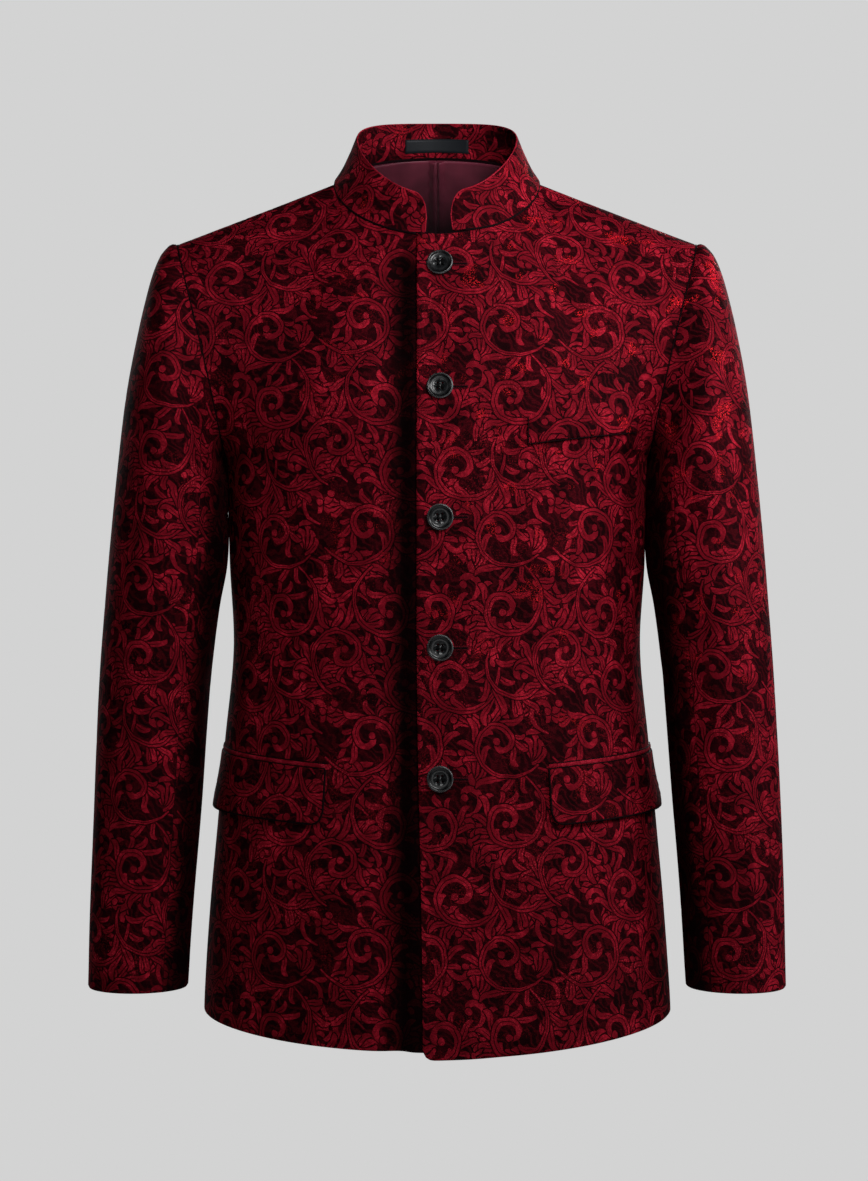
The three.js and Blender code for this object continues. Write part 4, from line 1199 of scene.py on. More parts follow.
SLEEVE_CREASES = {
    LEFT: [
        (180, -222, 180, -286, 22, 5.0), (150, -268, 60, -330, 13, -2.2), (168, -300, 78, -372, 14, 2.0),
        (176, -372, 84, -408, 12, -2.6), (172, -402, 96, -430, 11, 1.9), (188, -420, 104, -462, 12, -2.3),
        (40, -196, 62, -330, 20, -1.4), (28, -470, 52, -640, 20, 1.6), (96, -500, 84, -676, 17, -1.7),
        (200, -300, 262, -372, 14, -2.2), (206, -372, 276, -420, 13, 2.1), (196, -430, 262, -470, 13, -2.2),
        (232, -520, 246, -668, 18, -1.6), (-60, -140, -76, -300, 22, -1.6), (-40, -330, -66, -440, 18, 1.6),
    ],
    RIGHT: [
        (180, -222, 180, -286, 22, 5.0), (152, -262, 66, -318, 13, -2.3), (166, -296, 74, -360, 14, 2.0),
        (178, -364, 88, -398, 12, -2.5), (170, -398, 92, -424, 11, 1.9), (184, -428, 98, -474, 12, -2.4),
        (36, -204, 56, -342, 20, -1.5), (32, -482, 48, -652, 20, 1.6), (92, -512, 80, -680, 17, -1.8),
        (204, -292, 258, -366, 14, -2.1), (208, -364, 270, -412, 13, 2.0), (198, -438, 258, -482, 13, -2.2),
        (228, -528, 242, -672, 18, -1.6), (-62, -146, -74, -290, 22, -1.6), (-44, -338, -62, -452, 18, 1.6),
    ],
}
# A degree of turn on a sleeve is about this long.
TURN_LENGTH = 1.25


def creased(places, rows, scale=1):
    """How far the creases of those rows move the cloth out. The first of a place's two numbers is scaled."""
    out = 0
    for x0, z0, x1, z1, wide, high in rows:
        start, end = np.array((x0 * scale, z0), float), np.array((x1 * scale, z1), float)
        way = end - start
        t = np.clip(((places - start) @ way) / (way @ way), 0, 1)
        off = np.linalg.norm(places - start - t[..., None] * way, axis=-1)
        out = out + high * np.exp(-((off / wide) ** 2)) * np.sin(np.pi * t) ** 0.8
    return out


def drift(places, amount, phase):
    """Very soft, uneven swelling, as in cloth that hangs."""
    a, b = places[..., 0] / 58 + phase, places[..., 1] / 71 + 2 * phase
    return amount * (np.sin(a + 0.7 * np.sin(b)) * np.cos(b) + 0.5 * np.sin(2.3 * b + a) * np.cos(1.7 * a))


# ------------------------------------------------------------------ fronts and backs
BODY_COLUMNS, LOW_ROWS, YOKE_ROWS = 231, 170, 101
UP = np.concatenate([np.linspace(0, 1, LOW_ROWS), np.linspace(1, 2, YOKE_ROWS)[1:]])
UNDERARM_ROW = LOW_ROWS - 1
MIRROR = np.array((-1, 1, 1))
OUT = {FRONT: np.array((0, -1, 0)), BACK: np.array((0, 1, 0))}
# The columns lie a little closer together towards the front edge.
COLUMN_POWER = 1.04
# A dart's line sinks in and the cloth swells beside it. Both fade out towards its ends.
DART_SEAM = dict(span=200, wide=1.7, deep=1.5, swellWide=9, swellHigh=0.7, topRun=26, bottomRun=6)
# Creases fade out over these distances from where pieces meet.
FADE = {"side": 22, "top": 26, FRONT: 26, BACK: 14}
BODY_DRIFT, SLEEVE_DRIFT = 0.5, 0.55
PHASES = {(FRONT, LEFT): 0.4, (FRONT, RIGHT): 1.9, (BACK, LEFT): 3.1, (BACK, RIGHT): 4.4}
SLEEVE_PHASES, FLAP_PHASES = {LEFT: 0.9, RIGHT: 2.7}, {LEFT: 0.5, RIGHT: 2.1}
# The lower front's cloth sinks in beside the lapping edge, which shades it.
TROUGH = dict(x=-31, near=8, far=15, depth=8, top=-60, run=36)


def front_net(side):
    """A front of the left half, with its directions outwards. Its first column is its own free edge."""
    height = garment(FRONT, side, np.zeros_like(UP), UP)[:, 2]
    span = EDGE_SWING["end"] - EDGE_SWING["start"]
    swing = EDGE_SWING["by"] * ease((height - EDGE_SWING["start"]) / span)
    edge = FRONT_EDGE - swing if side == LEFT else np.full_like(UP, UNDER_EDGE)
    start = across_at(side, -edge, UP)
    across = lerp(start[:, None], 1.0, np.linspace(0, 1, BODY_COLUMNS)[None] ** COLUMN_POWER)
    net = garment(FRONT, side, across, UP[:, None])
    from_edge = edge[:, None] + net[..., 0]
    short = (HEM_CORNER - from_edge).clip(0)
    rise = HEM_CORNER - np.sqrt((HEM_CORNER**2 - short**2).clip(0))
    net[..., 2] += np.where(UP[:, None] < 1, rise * (1 - UP[:, None]).clip(0) ** 3, 0)
    n = normals_of(net, OUT[FRONT])
    net += n * lap_lift(side, net[..., 0])[..., None]
    plain = net.copy()
    x, z = net[..., 0], net[..., 2]
    seam = DART_SEAM
    gap = (across - DART["across"]) * seam["span"]
    ends = ease((DART["topZ"] - z) / seam["topRun"]) * ease((z - DART["bottomZ"]) / seam["bottomRun"])
    out = -seam["deep"] * np.exp(-((gap / seam["wide"]) ** 2)) * ends
    out = out + seam["swellHigh"] * np.exp(-((gap / seam["swellWide"]) ** 2)) * ends
    out = out + soft_relief(FRONT, side, net)
    if side == RIGHT:
        beyond = x + TROUGH["x"]
        off = beyond / np.where(beyond < 0, TROUGH["near"], TROUGH["far"])
        out = out - TROUGH["depth"] * np.exp(-(off**2)) * ease((TROUGH["top"] - z) / TROUGH["run"])
    return plain, net + n * out[..., None]


def soft_relief(face, side, net):
    """A front's or a back's creases and swelling, which fade out where pieces meet."""
    places = net[..., [0, 2]]
    out = creased(places, BODY_CREASES[face, side]) + drift(places, BODY_DRIFT, PHASES[face, side])
    across, up = arcs(net, 1), arcs(net, 0)
    by_side = ease((across[:, -1:] - across) / FADE["side"])
    by_top = ease((up[-1:] - up) / FADE["top"])
    return out * by_side * by_top * ease(across / FADE[face])


def back_net(side):
    across = np.broadcast_to(np.linspace(0, 1, BODY_COLUMNS)[None], (len(UP), BODY_COLUMNS))
    net = garment(BACK, LEFT, across, UP[:, None])
    n = normals_of(net, OUT[BACK])
    return net, net + n * soft_relief(BACK, side, net)[..., None]


def body_piece(name, face, side, plain, net, borders):
    if side == RIGHT:
        plain, net = plain * MIRROR, net * MIRROR
    flat = flatten(plain, normals_of(plain, OUT[face]), UNDERARM_ROW)
    return Piece(name, net, normals_of(net, OUT[face]), flat, CLOTH, borders)


# ------------------------------------------------------------------ sleeves
RING_STEPS = 22
DOWN = np.linspace(1, 0, (len(SLEEVE_RINGS) - 1) * RING_STEPS + 1)
# The threads are level at the elbow, which is at this place among the rings, and a sleeve's creases fade out
# over these distances.
ELBOW_RING = 7.6
SLEEVE_BASE_ROW = int(np.argmin(np.abs(DOWN * (len(SLEEVE_RINGS) - 1) - ELBOW_RING)))
TOP_TURNS, UNDER_TURNS = (-108, 126), (126, 252)
DEGREES_A_COLUMN = 0.9
SLEEVE_FADE = dict(side=16, top=22, cuff=50, atCuff=0.25, headSide=8)
# The sleeve head is eased in, so that it stands a little above its seam.
ROPING = dict(up=0.9, reach=13)


def sleeve_piece(name, side, turns):
    turn = np.linspace(*turns, round((turns[1] - turns[0]) / DEGREES_A_COLUMN))[None]
    net = sleeve(turn, DOWN[:, None])
    axis = (sleeve(np.zeros_like(DOWN), DOWN) + sleeve(np.full_like(DOWN, 180.0), DOWN)) / 2
    n = normals_of(net, net - axis[:, None])
    places = np.stack(np.broadcast_arrays(turn * TURN_LENGTH, net[..., 2]), -1)
    out = creased(places, SLEEVE_CREASES[side], TURN_LENGTH)
    out = out + drift(places, SLEEVE_DRIFT, SLEEVE_PHASES[side])
    across, up = arcs(net, 1), arcs(net, 0)
    from_side = np.minimum(across, across[:, -1:] - across)
    from_top, fade = up[-1:] - up, SLEEVE_FADE
    out = out * ease(from_side / fade["side"]) * ease(from_top / fade["top"])
    out = out * ease(fade["atCuff"] + up / fade["cuff"])
    head = np.sin(np.pi * np.clip(from_top / ROPING["reach"], 0, 1)) ** 2
    out = out + ROPING["up"] * head * np.cos(np.radians(turn)).clip(0) * ease(from_side / fade["headSide"])
    plain, net = net, net + n * out[..., None]
    if side == RIGHT:
        plain, net, axis = plain * MIRROR, net * MIRROR, axis * MIRROR
    flat = flatten(plain, normals_of(plain, plain - axis[:, None]), SLEEVE_BASE_ROW)
    n = normals_of(net, net - axis[:, None])
    return Piece(name, net, n, flat, CLOTH, ("seam", "seam", "free", "seam"))


# ------------------------------------------------------------------ collar
def end_turn(x):
    return 180 - math.degrees(math.asin(x / NECK["halfWidth"]))


def collar_height(from_end):
    tall = COLLAR_TOP["frontZ"] - NECK["frontZ"]
    t = np.clip(from_end / COLLAR_END["cornerWide"], 0, 1)
    return 1 - COLLAR_END["cornerTall"] / tall * (1 - np.sqrt(1 - (1 - t) ** 2))


COLLAR_COLUMNS, COLLAR_ROWS = 561, 41


def out_of_collar(net):
    """Level directions away from the middle of the neck."""
    return net - net.mean((0, 1)) * (1, 1, 0) - (0, 0, 1) * net


def collar_net():
    """The middle of the collar's cloth, from its right end round the back to its left end."""
    right, left = end_turn(COLLAR_END["right"]), end_turn(COLLAR_END["left"])
    turn = np.linspace(-right, left, COLLAR_COLUMNS)[None]
    degree = math.pi * NECK["halfWidth"] / 180
    from_end = np.where(turn < 0, right + turn, left - turn) * degree
    up = np.linspace(0, 1, COLLAR_ROWS)[:, None] * collar_height(from_end)
    net = collar_point(np.broadcast_to(turn, up.shape), up)
    n = normals_of(net, out_of_collar(net))
    lift = np.where(turn > 90, lap_lift(LEFT, neckline(turn)[..., 0]), 0)
    net = net + n * np.broadcast_to(lift, up.shape)[..., None]
    net[..., 2] += COLLAR_SEAM * (1 - up)
    return turn[0], net


# The collar's cloth lies this much further in than its solid.
COLLAR_IN = 0.2
# The bright tube along the collar's turned edge, a painted highlight: its radius, how far in it lies and its
# first row.
COLLAR_HIGHLIGHT_TUBE = dict(radius=0.62, inwards=0.3, firstRow=4)


def collar_piece(net):
    n = normals_of(net, out_of_collar(net))
    outer = net + n * (COLLAR_CLOTH / 2 - COLLAR_IN)
    flat = flatten(outer, n, 0, rows=8, columns=80)
    return Piece("collar_cloth", outer, n, flat, COLLAR_CLOTH, ("free", "free", "seam", "free"))


def collar_fold_highlight(piece):
    """A bright tube round the collar's ends and top, a painted highlight for the turned edge's pile."""
    middle, low = piece.net - piece.n * COLLAR_CLOTH * COLLAR_HIGHLIGHT_TUBE["inwards"], COLLAR_HIGHLIGHT_TUBE["firstRow"]
    line = np.concatenate([middle[low:-1, 0], middle[-1], middle[-2:low - 1:-1, -1]])
    return tube(line[::2], COLLAR_HIGHLIGHT_TUBE["radius"], 8)


# ------------------------------------------------------------------ pockets
def on_trunk(side, across, z):
    up = (z - hem_z(FRONT, side, across)) / (UNDERARM_Z - hem_z(FRONT, side, across))
    return garment(FRONT, side, across, up)


FLAP_COLUMNS, FLAP_ROWS, JET_ROWS = 181, 61, 9
# A flap's lower edge stands off and waves a little, more towards its far end. A jet's face is round.
FLAP_HANG = dict(standStart=0.55, standEnd=0.45, wave=1.1, waves=7.3, waveShare=0.8)
JET_BULGE = dict(high=0.9, share=0.5, base=0.55)


def flap_pieces(side, hand):
    """A flap that hangs from its jet and stands off a little towards its lower edge, and the jet."""
    across = lerp(FLAP["start"], FLAP["end"], np.linspace(0, 1, FLAP_COLUMNS)[None])
    walked = lengths_along(on_trunk(side, across[0], np.full(FLAP_COLUMNS, float(FLAP["z"]))))[None]
    length = walked[0, -1]
    walked = walked / length
    mouth = FLAP["z"] + FLAP["rise"] * walked
    from_end = np.minimum(walked, 1 - walked) * length / FLAP["corner"]
    cut = FLAP["corner"] * (1 - np.sqrt((1 - (1 - from_end).clip(0) ** 2).clip(0)))
    tall = FLAP["tall"] + FLAP["sideTaller"] * walked - cut
    down, rise = np.linspace(1, 0, FLAP_ROWS)[:, None], np.linspace(0, 1, JET_ROWS)[:, None]
    hang, bulge = FLAP_HANG, JET_BULGE["high"] * np.sin(np.pi * rise) ** 0.5
    waves = hang["wave"] * np.sin(hang["waves"] * walked + FLAP_PHASES[side]) * down**2
    flare = FLAP["flare"] * down**1.5 * (hang["standStart"] + hang["standEnd"] * walked)
    flare = flare + hang["waveShare"] * waves * down
    jet_out = LAID_GAP + JET["thick"] * (JET_BULGE["base"] + JET_BULGE["share"] * bulge)
    made = []
    for name, z, out, thick, borders in (
        ("flap", mouth - down * tall, LAID_GAP + FLAP["thick"] + flare, FLAP["thick"], "free free free seam"),
        ("jet", mouth + 2 * SEAM + rise * JET["tall"], jet_out, JET["thick"], "seam seam seam free"),
    ):
        net = on_trunk(side, np.broadcast_to(across, z.shape), z)
        flat = np.stack(np.broadcast_arrays(walked * length, z - mouth), -1)
        net = net + normals_of(net, OUT[FRONT]) * out[..., None]
        if side == RIGHT:
            net, flat = net * MIRROR, flat * (-1, 1)
        n = normals_of(net, OUT[FRONT])
        made.append(Piece(f"pocket_{name}_{hand}_cloth", net, n, flat, thick, borders.split()))
    return made


WELT_SHAPE = (31, 121)


def chest_welt_piece(front):
    """The welt's cloth follows the left front's own surface, and its pattern matches the front's."""
    c, (rows, columns) = CHEST_WELT, WELT_SHAPE
    x = np.linspace(c["x0"], c["x1"], columns)[None]
    z = c["z"] + c["rise"] * (x - c["x0"]) / (c["x1"] - c["x0"]) + np.linspace(0, c["tall"], rows)[:, None]
    at = place_of(front.net[..., [0, 2]], np.stack(np.broadcast_arrays(x, z), -1).reshape(-1, 2))
    n = sample(front.n, at).reshape(*WELT_SHAPE, 3)
    net = sample_smooth(front.net, at).reshape(*WELT_SHAPE, 3) + n * (c["gap"] + c["thick"])
    flat = sample(front.flat, at).reshape(*WELT_SHAPE, 2)
    return Piece("chest_welt_cloth", net, n, flat, c["thick"], ("free", "free", "free", "free"))


# ------------------------------------------------------------------ lining and label
# The lining starts above the hem, and its columns lie closer together towards its pleat. It keeps off
# the backs by a gap. Its ripples fade out towards its lower edge.
LINING = dict(low=1 / 12, lowRows=121, yokeRows=81, columns=161, columnPower=1.6, reach=0.988, gap=0.5)
RIPPLES = dict(high=0.45, wide=11, tall=60, fromZ=-700, run=80)
LABEL_SHAPE = (25, 91)


def lining_piece():
    """The back's lining, with a pleat's fold down its middle."""
    c = LINING
    low_rows, yoke_rows = np.linspace(c["low"], 1, c["lowRows"]), np.linspace(1, 2, c["yokeRows"])
    up = np.concatenate([low_rows, yoke_rows[1:]])
    across = c["reach"] * np.linspace(0, 1, c["columns"]) ** c["columnPower"]
    half = garment(BACK, LEFT, across[None], up[:, None])
    net = np.concatenate([(half[:, 1:] * MIRROR)[:, ::-1], half], 1)
    n = normals_of(net, OUT[BACK])
    x, z = net[..., 0], net[..., 2]
    fold = PLEAT["depth"] * (1 - np.abs(x) / PLEAT["halfWidth"]).clip(0) ** 0.8
    ripples = RIPPLES["high"] * np.sin(x / RIPPLES["wide"] + np.sin(z / RIPPLES["tall"]))
    ripples = ripples * ease((z - RIPPLES["fromZ"]) / RIPPLES["run"])
    slot = PLEAT["slot"] * np.exp(-((x / PLEAT["slotWide"]) ** 2))
    inwards = CLOTH + LAID_GAP + LINING_CLOTH + fold + c["gap"] + ripples - slot
    net = net - n * inwards[..., None]
    n = -normals_of(net, OUT[BACK])
    flat = flatten(net, -n, c["lowRows"] - 1)
    return Piece("lining_back_satin", net, n, flat, LINING_CLOTH, ("free",) * 4)


def label_piece(turn, net):
    """A blank woven label on the inside of the collar, at the back of the neck."""
    n = normals_of(net, out_of_collar(net))
    width, (rows, columns) = arcs(net, 1), LABEL_SHAPE
    places = []
    for row in np.linspace(LABEL["bottom"], LABEL["top"], rows) * (net.shape[0] - 1):
        along = width[int(round(row))]
        reach = np.interp(0, turn, along) + np.linspace(-0.5, 0.5, columns) * LABEL["width"]
        column = np.interp(reach, along, np.arange(net.shape[1]))
        places.append(np.column_stack([column, np.full(columns, row)]))
    at = np.concatenate(places)
    out = sample(n, at).reshape(*LABEL_SHAPE, 3)
    p = sample_smooth(net, at).reshape(*LABEL_SHAPE, 3)
    p = p - out * (COLLAR_CLOTH / 2 + COLLAR_IN + LAID_GAP + LABEL["thick"])
    flat = np.stack([arcs(p, 1), arcs(p, 0)], -1)
    return Piece("label_ribbon", p, -out, flat, LABEL["thick"], ("free",) * 4)


# ------------------------------------------------------------------ threads and buttons
# Radii of the turned-in edges that fill a seam, and of the dark lines beside pieces that are laid on, which
# are painted shadow.
TAPE = 0.8
NECK_TAPE = 1.15
LINE = 0.55
FLAP_LINE = 1.0
ARMHOLE_LINE = 0.7
# How deep in the cloth those lie, as a share of its thickness or in millimetres.
TAPE_SHARE, FLAP_LINE_SHARE, LINE_IN, WELT_LINE_IN = 0.55, 0.6, 0.35, 0.3
UNDERARM_TACK = dict(x=183.3, y=7, top=-238, bottom=-254, radius=1.0)


def tube(path, radius, sides=8):
    """Points and faces of a closed tube along a path."""
    path = np.asarray(path, float)
    radius = np.broadcast_to(radius, len(path))
    along = unit(np.gradient(path, axis=0))
    a = unit(np.cross(along, (0.3, 0.9, 0.3)))
    b = np.cross(a, along)
    cos, sin = circle(np.arange(sides) * 360 / sides).T[..., None]
    ring = a[:, None] * cos + b[:, None] * sin
    points = (path[:, None] + ring * radius[:, None, None]).reshape(-1, 3)
    k, s = np.meshgrid(np.arange(len(path) - 1), np.arange(sides), indexing="ij")
    after = (s + 1) % sides
    faces = np.stack([k * sides + s, (k + 1) * sides + s, (k + 1) * sides + after, k * sides + after], -1)
    points = np.concatenate([points, path[:1], path[-1:]])
    s, after, end = s[0], after[0], (len(path) - 1) * sides
    caps = np.concatenate([
        np.stack([np.full(sides, len(points) - 2), s, after], 1),
        np.stack([np.full(sides, len(points) - 1), end + after, end + s], 1),
    ])
    return points, faces.reshape(-1, 4), caps


def joined(parts):
    """Puts several (points, quads, triangles) together."""
    points, quads, tris, first = [], [], [], 0
    for p, q, t in parts:
        points.append(p)
        quads.append(np.asarray(q, int).reshape(-1, 4) + first)
        tris.append(np.asarray(t, int).reshape(-1, 3) + first)
        first += len(p)
    return np.concatenate(points), np.concatenate(quads), np.concatenate(tris)


def add_solid(name, parts, materials, of_face=None):
    points, quads, tris = joined(parts)
    faces = [f for f in (quads, tris) if len(f)]
    return add_mesh(name, points, faces, materials, of_face)


BUTTON_FLOOR = BUTTON["thick"] - BUTTON["dish"] - 0.25
# The rim's profile from the back's edge over the top to the floor: how far in from the edge, and how high.
# Its rows are black but for a bright line round the rim, which is a painted highlight, and the dull dish.
RIM_PROFILE = [
    (2.0, 0.0), (1.0, 0.12), (0.35, 0.55), (0.06, 1.15), (0, 1.8),
    (0.03, 2.5), (0.2, 3.05), (0.55, 3.42), (1.0, 3.58), (1.5, 3.5),
    (2.0, 3.2), (2.45, 2.82), (2.9, 2.55), (3.6, BUTTON_FLOOR + 0.08), (4.6, BUTTON_FLOOR),
]
PLAIN, DISH, RIM_HIGHLIGHT = 0, 1, 2
RIM_ROWS = [PLAIN] * 5 + [RIM_HIGHLIGHT] * 2 + [PLAIN] * 4 + [DISH] * 3
BUTTON_SIDES, HOLE_SIDES = 64, 20


def button_parts(turned):
    """A four-hole button with a thick rim, lying in x and y with its face up, and each face's material."""
    sides, last_ring = BUTTON_SIDES, len(RIM_PROFILE) - 1
    edge = circle(np.arange(sides) * 360 / sides)
    profile = [(BUTTON["radius"] - inwards, high) for inwards, high in RIM_PROFILE]
    points = np.concatenate([np.column_stack([edge * radius, np.full(sides, z)]) for radius, z in profile])
    k, s = np.meshgrid(np.arange(last_ring), np.arange(sides), indexing="ij")
    after = (s + 1) % sides
    quads = np.stack([k * sides + s, k * sides + after, (k + 1) * sides + after, (k + 1) * sides + s], -1)
    hole = circle(np.arange(HOLE_SIDES) * 360 / HOLE_SIDES + turned) * BUTTON["hole"]
    centres = circle(np.array((45, 135, 225, 315)) + turned) * (BUTTON["holeAt"] * math.sqrt(2))
    # the floor and the back are each a disc with four holes in it
    tris, starts = [], []
    for ring_number in (last_ring, 0):
        radius, height = profile[ring_number]
        flat = [tuple(p) for p in edge * radius]
        edges = [(i, (i + 1) % sides) for i in range(sides)]
        for centre in centres:
            at = len(flat)
            flat += [tuple(p) for p in hole + centre]
            edges += [(at + i, at + (i + 1) % HOLE_SIDES) for i in range(HOLE_SIDES)]
        verts, faces = triangulate(flat, edges)
        middle = verts[faces].mean(1)
        faces = faces[~np.any([inside(hole + centre, middle) for centre in centres], 0)]
        number = np.arange(len(verts)) + len(points) - sides
        number[:sides] = ring_number * sides + np.arange(sides)
        starts.append(len(points))
        holes = np.column_stack([verts[sides:], np.full(len(verts) - sides, height)])
        points = np.concatenate([points, holes])
        tris.append(number[faces] if ring_number else number[faces][:, ::-1])
    i = np.arange(HOLE_SIDES)
    j = (i + 1) % HOLE_SIDES
    walls = []
    for k in range(len(centres)):
        top, low = (start + k * HOLE_SIDES for start in starts)
        walls.append(np.stack([top + i, low + i, low + j, top + j], 1)[:, ::-1])
    of_quads = np.concatenate([np.repeat(RIM_ROWS, sides), np.full(len(centres) * HOLE_SIDES, PLAIN)])
    of_tris = np.concatenate([np.full(len(tris[0]), DISH), np.full(len(tris[1]), PLAIN)])
    part = points, np.concatenate([quads.reshape(-1, 4)] + walls), np.concatenate(tris)
    return part, np.concatenate([of_quads, of_tris])


# Sewing thread: where its strands lie in a bar, how uneven they are, how high they bow, and the shank's coil.
STRANDS = dict(places=(-0.5, 0.0, 0.5), radius=0.27, unevenAlong=0.06, unevenAside=0.05)
STRAND_BOW = dict(below=1.6, high=2.32, step=0.12, power=0.32)
SHANK = dict(coils=5, radius=1.7, thread=0.42, points=70, top=0.1)


def thread_parts(turned, height):
    """Sewing thread in two bars over the button's face, each of three strands, and a shank beneath."""
    parts = []
    at, (c, s) = BUTTON["holeAt"], circle(turned)
    t = np.linspace(0, 1, 15)
    for x in (-at, at):
        for k, off in enumerate(STRANDS["places"]):
            y = lerp(-at, at, t) + RNG.normal(0, STRANDS["unevenAlong"])
            side = np.full_like(t, x + off) + RNG.normal(0, STRANDS["unevenAside"])
            bow = STRAND_BOW["high"] + STRAND_BOW["step"] * k
            z = BUTTON_FLOOR - STRAND_BOW["below"] + bow * np.sin(np.pi * t) ** STRAND_BOW["power"]
            parts.append(tube(np.column_stack([side * c - y * s, side * s + y * c, z]), STRANDS["radius"], 7))
    coil = circle(np.linspace(0, 360 * SHANK["coils"], SHANK["points"])) * SHANK["radius"]
    z = np.linspace(-height, SHANK["top"], SHANK["points"])
    parts.append(tube(np.column_stack([coil, z]), SHANK["thread"], 7))
    return parts


def placed(parts, matrix):
    m = np.array(matrix)
    return [(p @ m[:3, :3].T + m[:3, 3], q, t) for p, q, t in parts]


def front_place(front, x, z):
    """A point of the front's outer face and its direction, at that x and z."""
    at = place_of(front.net[..., [0, 2]], np.array([(x, z)], float))
    return sample_smooth(front.net, at)[0], sample(front.n, at)[0]


def frame_at(p, n, along=(1, 0, 0)):
    """A matrix whose z is n and whose x runs along the cloth."""
    n = unit(n)
    x = unit(np.array(along, float) - np.dot(along, n) * n)
    m = np.eye(4)
    m[:3, 0], m[:3, 1], m[:3, 2], m[:3, 3] = x, np.cross(n, x), n, p
    return m


# A buttonhole: its ends in x, how far it is under its button's middle and half of its width.
HOLE = dict(start=8.5, end=24.5, drop=0.5, half=1.25, slitOn=0.5)
# How far the stitches and the slit stand off the cloth, and the radii of both.
STAND = dict(stitches=0.15, slit=0.3)
THICK = dict(stitches=0.6, slit=0.8)
# The stitches: how much they swell, how long each is, and how close the points along them are.
STITCHES = dict(swell=0.14, each=0.7, step=0.16)


def buttonhole_parts(front, z):
    """A stitched slit in the cloth, with a rounded end beside the button."""
    x0, x1, half = HOLE["start"], HOLE["end"], HOLE["half"]
    t = np.linspace(0, 1, 40)
    right, left = (circle(np.linspace(start, start + 180, 12))[1:-1] * half for start in (-90, 90))
    ring = np.concatenate([
        np.column_stack([lerp(x0, x1, t), np.full(40, -half)]),
        right + (x1, 0),
        np.column_stack([lerp(x1, x0, t), np.full(40, half)]),
        left + (x0, 0),
    ])

    def on_front(places, up):
        at = place_of(front.net[..., [0, 2]], places + (0, z))
        return sample_smooth(front.net, at) + sample(front.n, at) * up

    path = on_front(ring, STAND["stitches"])
    path = np.concatenate([path, path[:2]])
    length = lengths_along(path)
    fine = np.linspace(0, length[-1], int(length[-1] / STITCHES["step"]))
    path = np.column_stack([np.interp(fine, length, path[:, k]) for k in range(3)])
    radius = THICK["stitches"] + STITCHES["swell"] * np.sin(fine * 2 * np.pi / STITCHES["each"])
    middle = np.column_stack([lerp(x0, x1 + HOLE["slitOn"], t), np.zeros(40)])
    return tube(path, radius, 8), tube(on_front(middle, STAND["slit"]), THICK["slit"], 8)


def sunk(piece, depth):
    return piece.net - piece.n * depth


def seam_tapes(pieces):
    """Where the turned-in edges of two pieces meet, in the middle of the cloth."""
    parts = []
    for hand in ("left", "right"):
        front, back, top, under = (
            sunk(pieces[f"{name}_{hand}"], CLOTH * TAPE_SHARE)
            for name in ("front", "back", "sleeve_top", "sleeve_under")
        )
        lines = [front[:, -1], back[:, -1], top[:, 0], top[:, -1]]
        lines += [net[-1] for net in (front, back, top, under)]
        if hand == "left":
            lines.append(back[:, 0])
        parts += [tube(line[::3], TAPE, 6) for line in lines]
    neck = sunk(pieces["collar"], COLLAR_CLOTH * TAPE_SHARE)[0] - (0, 0, COLLAR_SEAM / 2)
    parts.append(tube(neck[8:-8:3], NECK_TAPE, 8))
    return parts


def painted_shadow_lines(pieces):
    """Painted shadow: dark lines along the jets, round the flaps, on the armholes and along the chest welt's
    lower edge.

    A short tack closes each underarm, where four pieces meet."""
    parts = []
    for hand, sign in (("left", LEFT), ("right", RIGHT)):
        jet = sunk(pieces[f"pocket_jet_{hand}"], LINE_IN)
        parts += [tube(jet[row, ::3], LINE, 6) for row in (0, -1)]
        flap = sunk(pieces[f"pocket_flap_{hand}"], FLAP["thick"] * FLAP_LINE_SHARE)
        parts.append(tube(np.concatenate([flap[:1:-2, 0], flap[0, 2:-8:3]]), FLAP_LINE, 6))
        for name in ("sleeve_top", "sleeve_under"):
            parts.append(tube(sunk(pieces[f"{name}_{hand}"], LINE_IN)[-1, ::3], ARMHOLE_LINE, 6))
        tack = UNDERARM_TACK
        z = np.linspace(tack["top"], tack["bottom"], 9)
        parts.append(tube(xyz(tack["x"] * sign, tack["y"], z), tack["radius"], 6))
    welt = sunk(pieces["chest_welt"], WELT_LINE_IN)
    parts.append(tube(np.concatenate([welt[::-3, 0], welt[0, 2::3]]), LINE, 6))
    return parts


# ------------------------------------------------------------------ the scene's camera, lights and floor
CAMERA = dict(x=-2.6, y=-2384.0, z=-355.0, focal=2740.0, wide=868.0, tall=1181.0)


def add_camera():
    data = bpy.data.cameras.new("camera")
    data.sensor_width = 36
    data.lens = data.sensor_width * CAMERA["focal"] / CAMERA["tall"]
    camera = bpy.data.objects.new("camera", data)
    camera.location = (CAMERA["x"] * MM, CAMERA["y"] * MM, CAMERA["z"] * MM)
    camera.rotation_euler = (math.radians(90), 0, 0)
    bpy.context.scene.collection.objects.link(camera)
    bpy.context.scene.camera = camera


LIGHTS = table(
    ("name", "place", "aim", "size", "spread", "power"),
    [
        ("side", (1.2, -0.3, 0.2), (0.2, 0, -0.2), 0.5, 180, 10.3),
        ("front", (0, -2.6, -0.3), (0, 0, -0.3), 1.15, 180, 5.9),
        ("chest", (0.45, -1.2, 0.45), (0.12, 0, -0.05), 0.5, 70, 2.2),
        ("fill", (-1.2, -0.5, 0.2), (-0.2, 0, -0.2), 0.5, 180, 0.62),
        ("back", (0.9, 2.1, 0.5), (0, 0, -0.3), 1.2, 180, 26),
        ("back_fill", (-1.1, 1.9, 0.2), (0, 0, -0.3), 1.2, 180, 12),
    ],
)


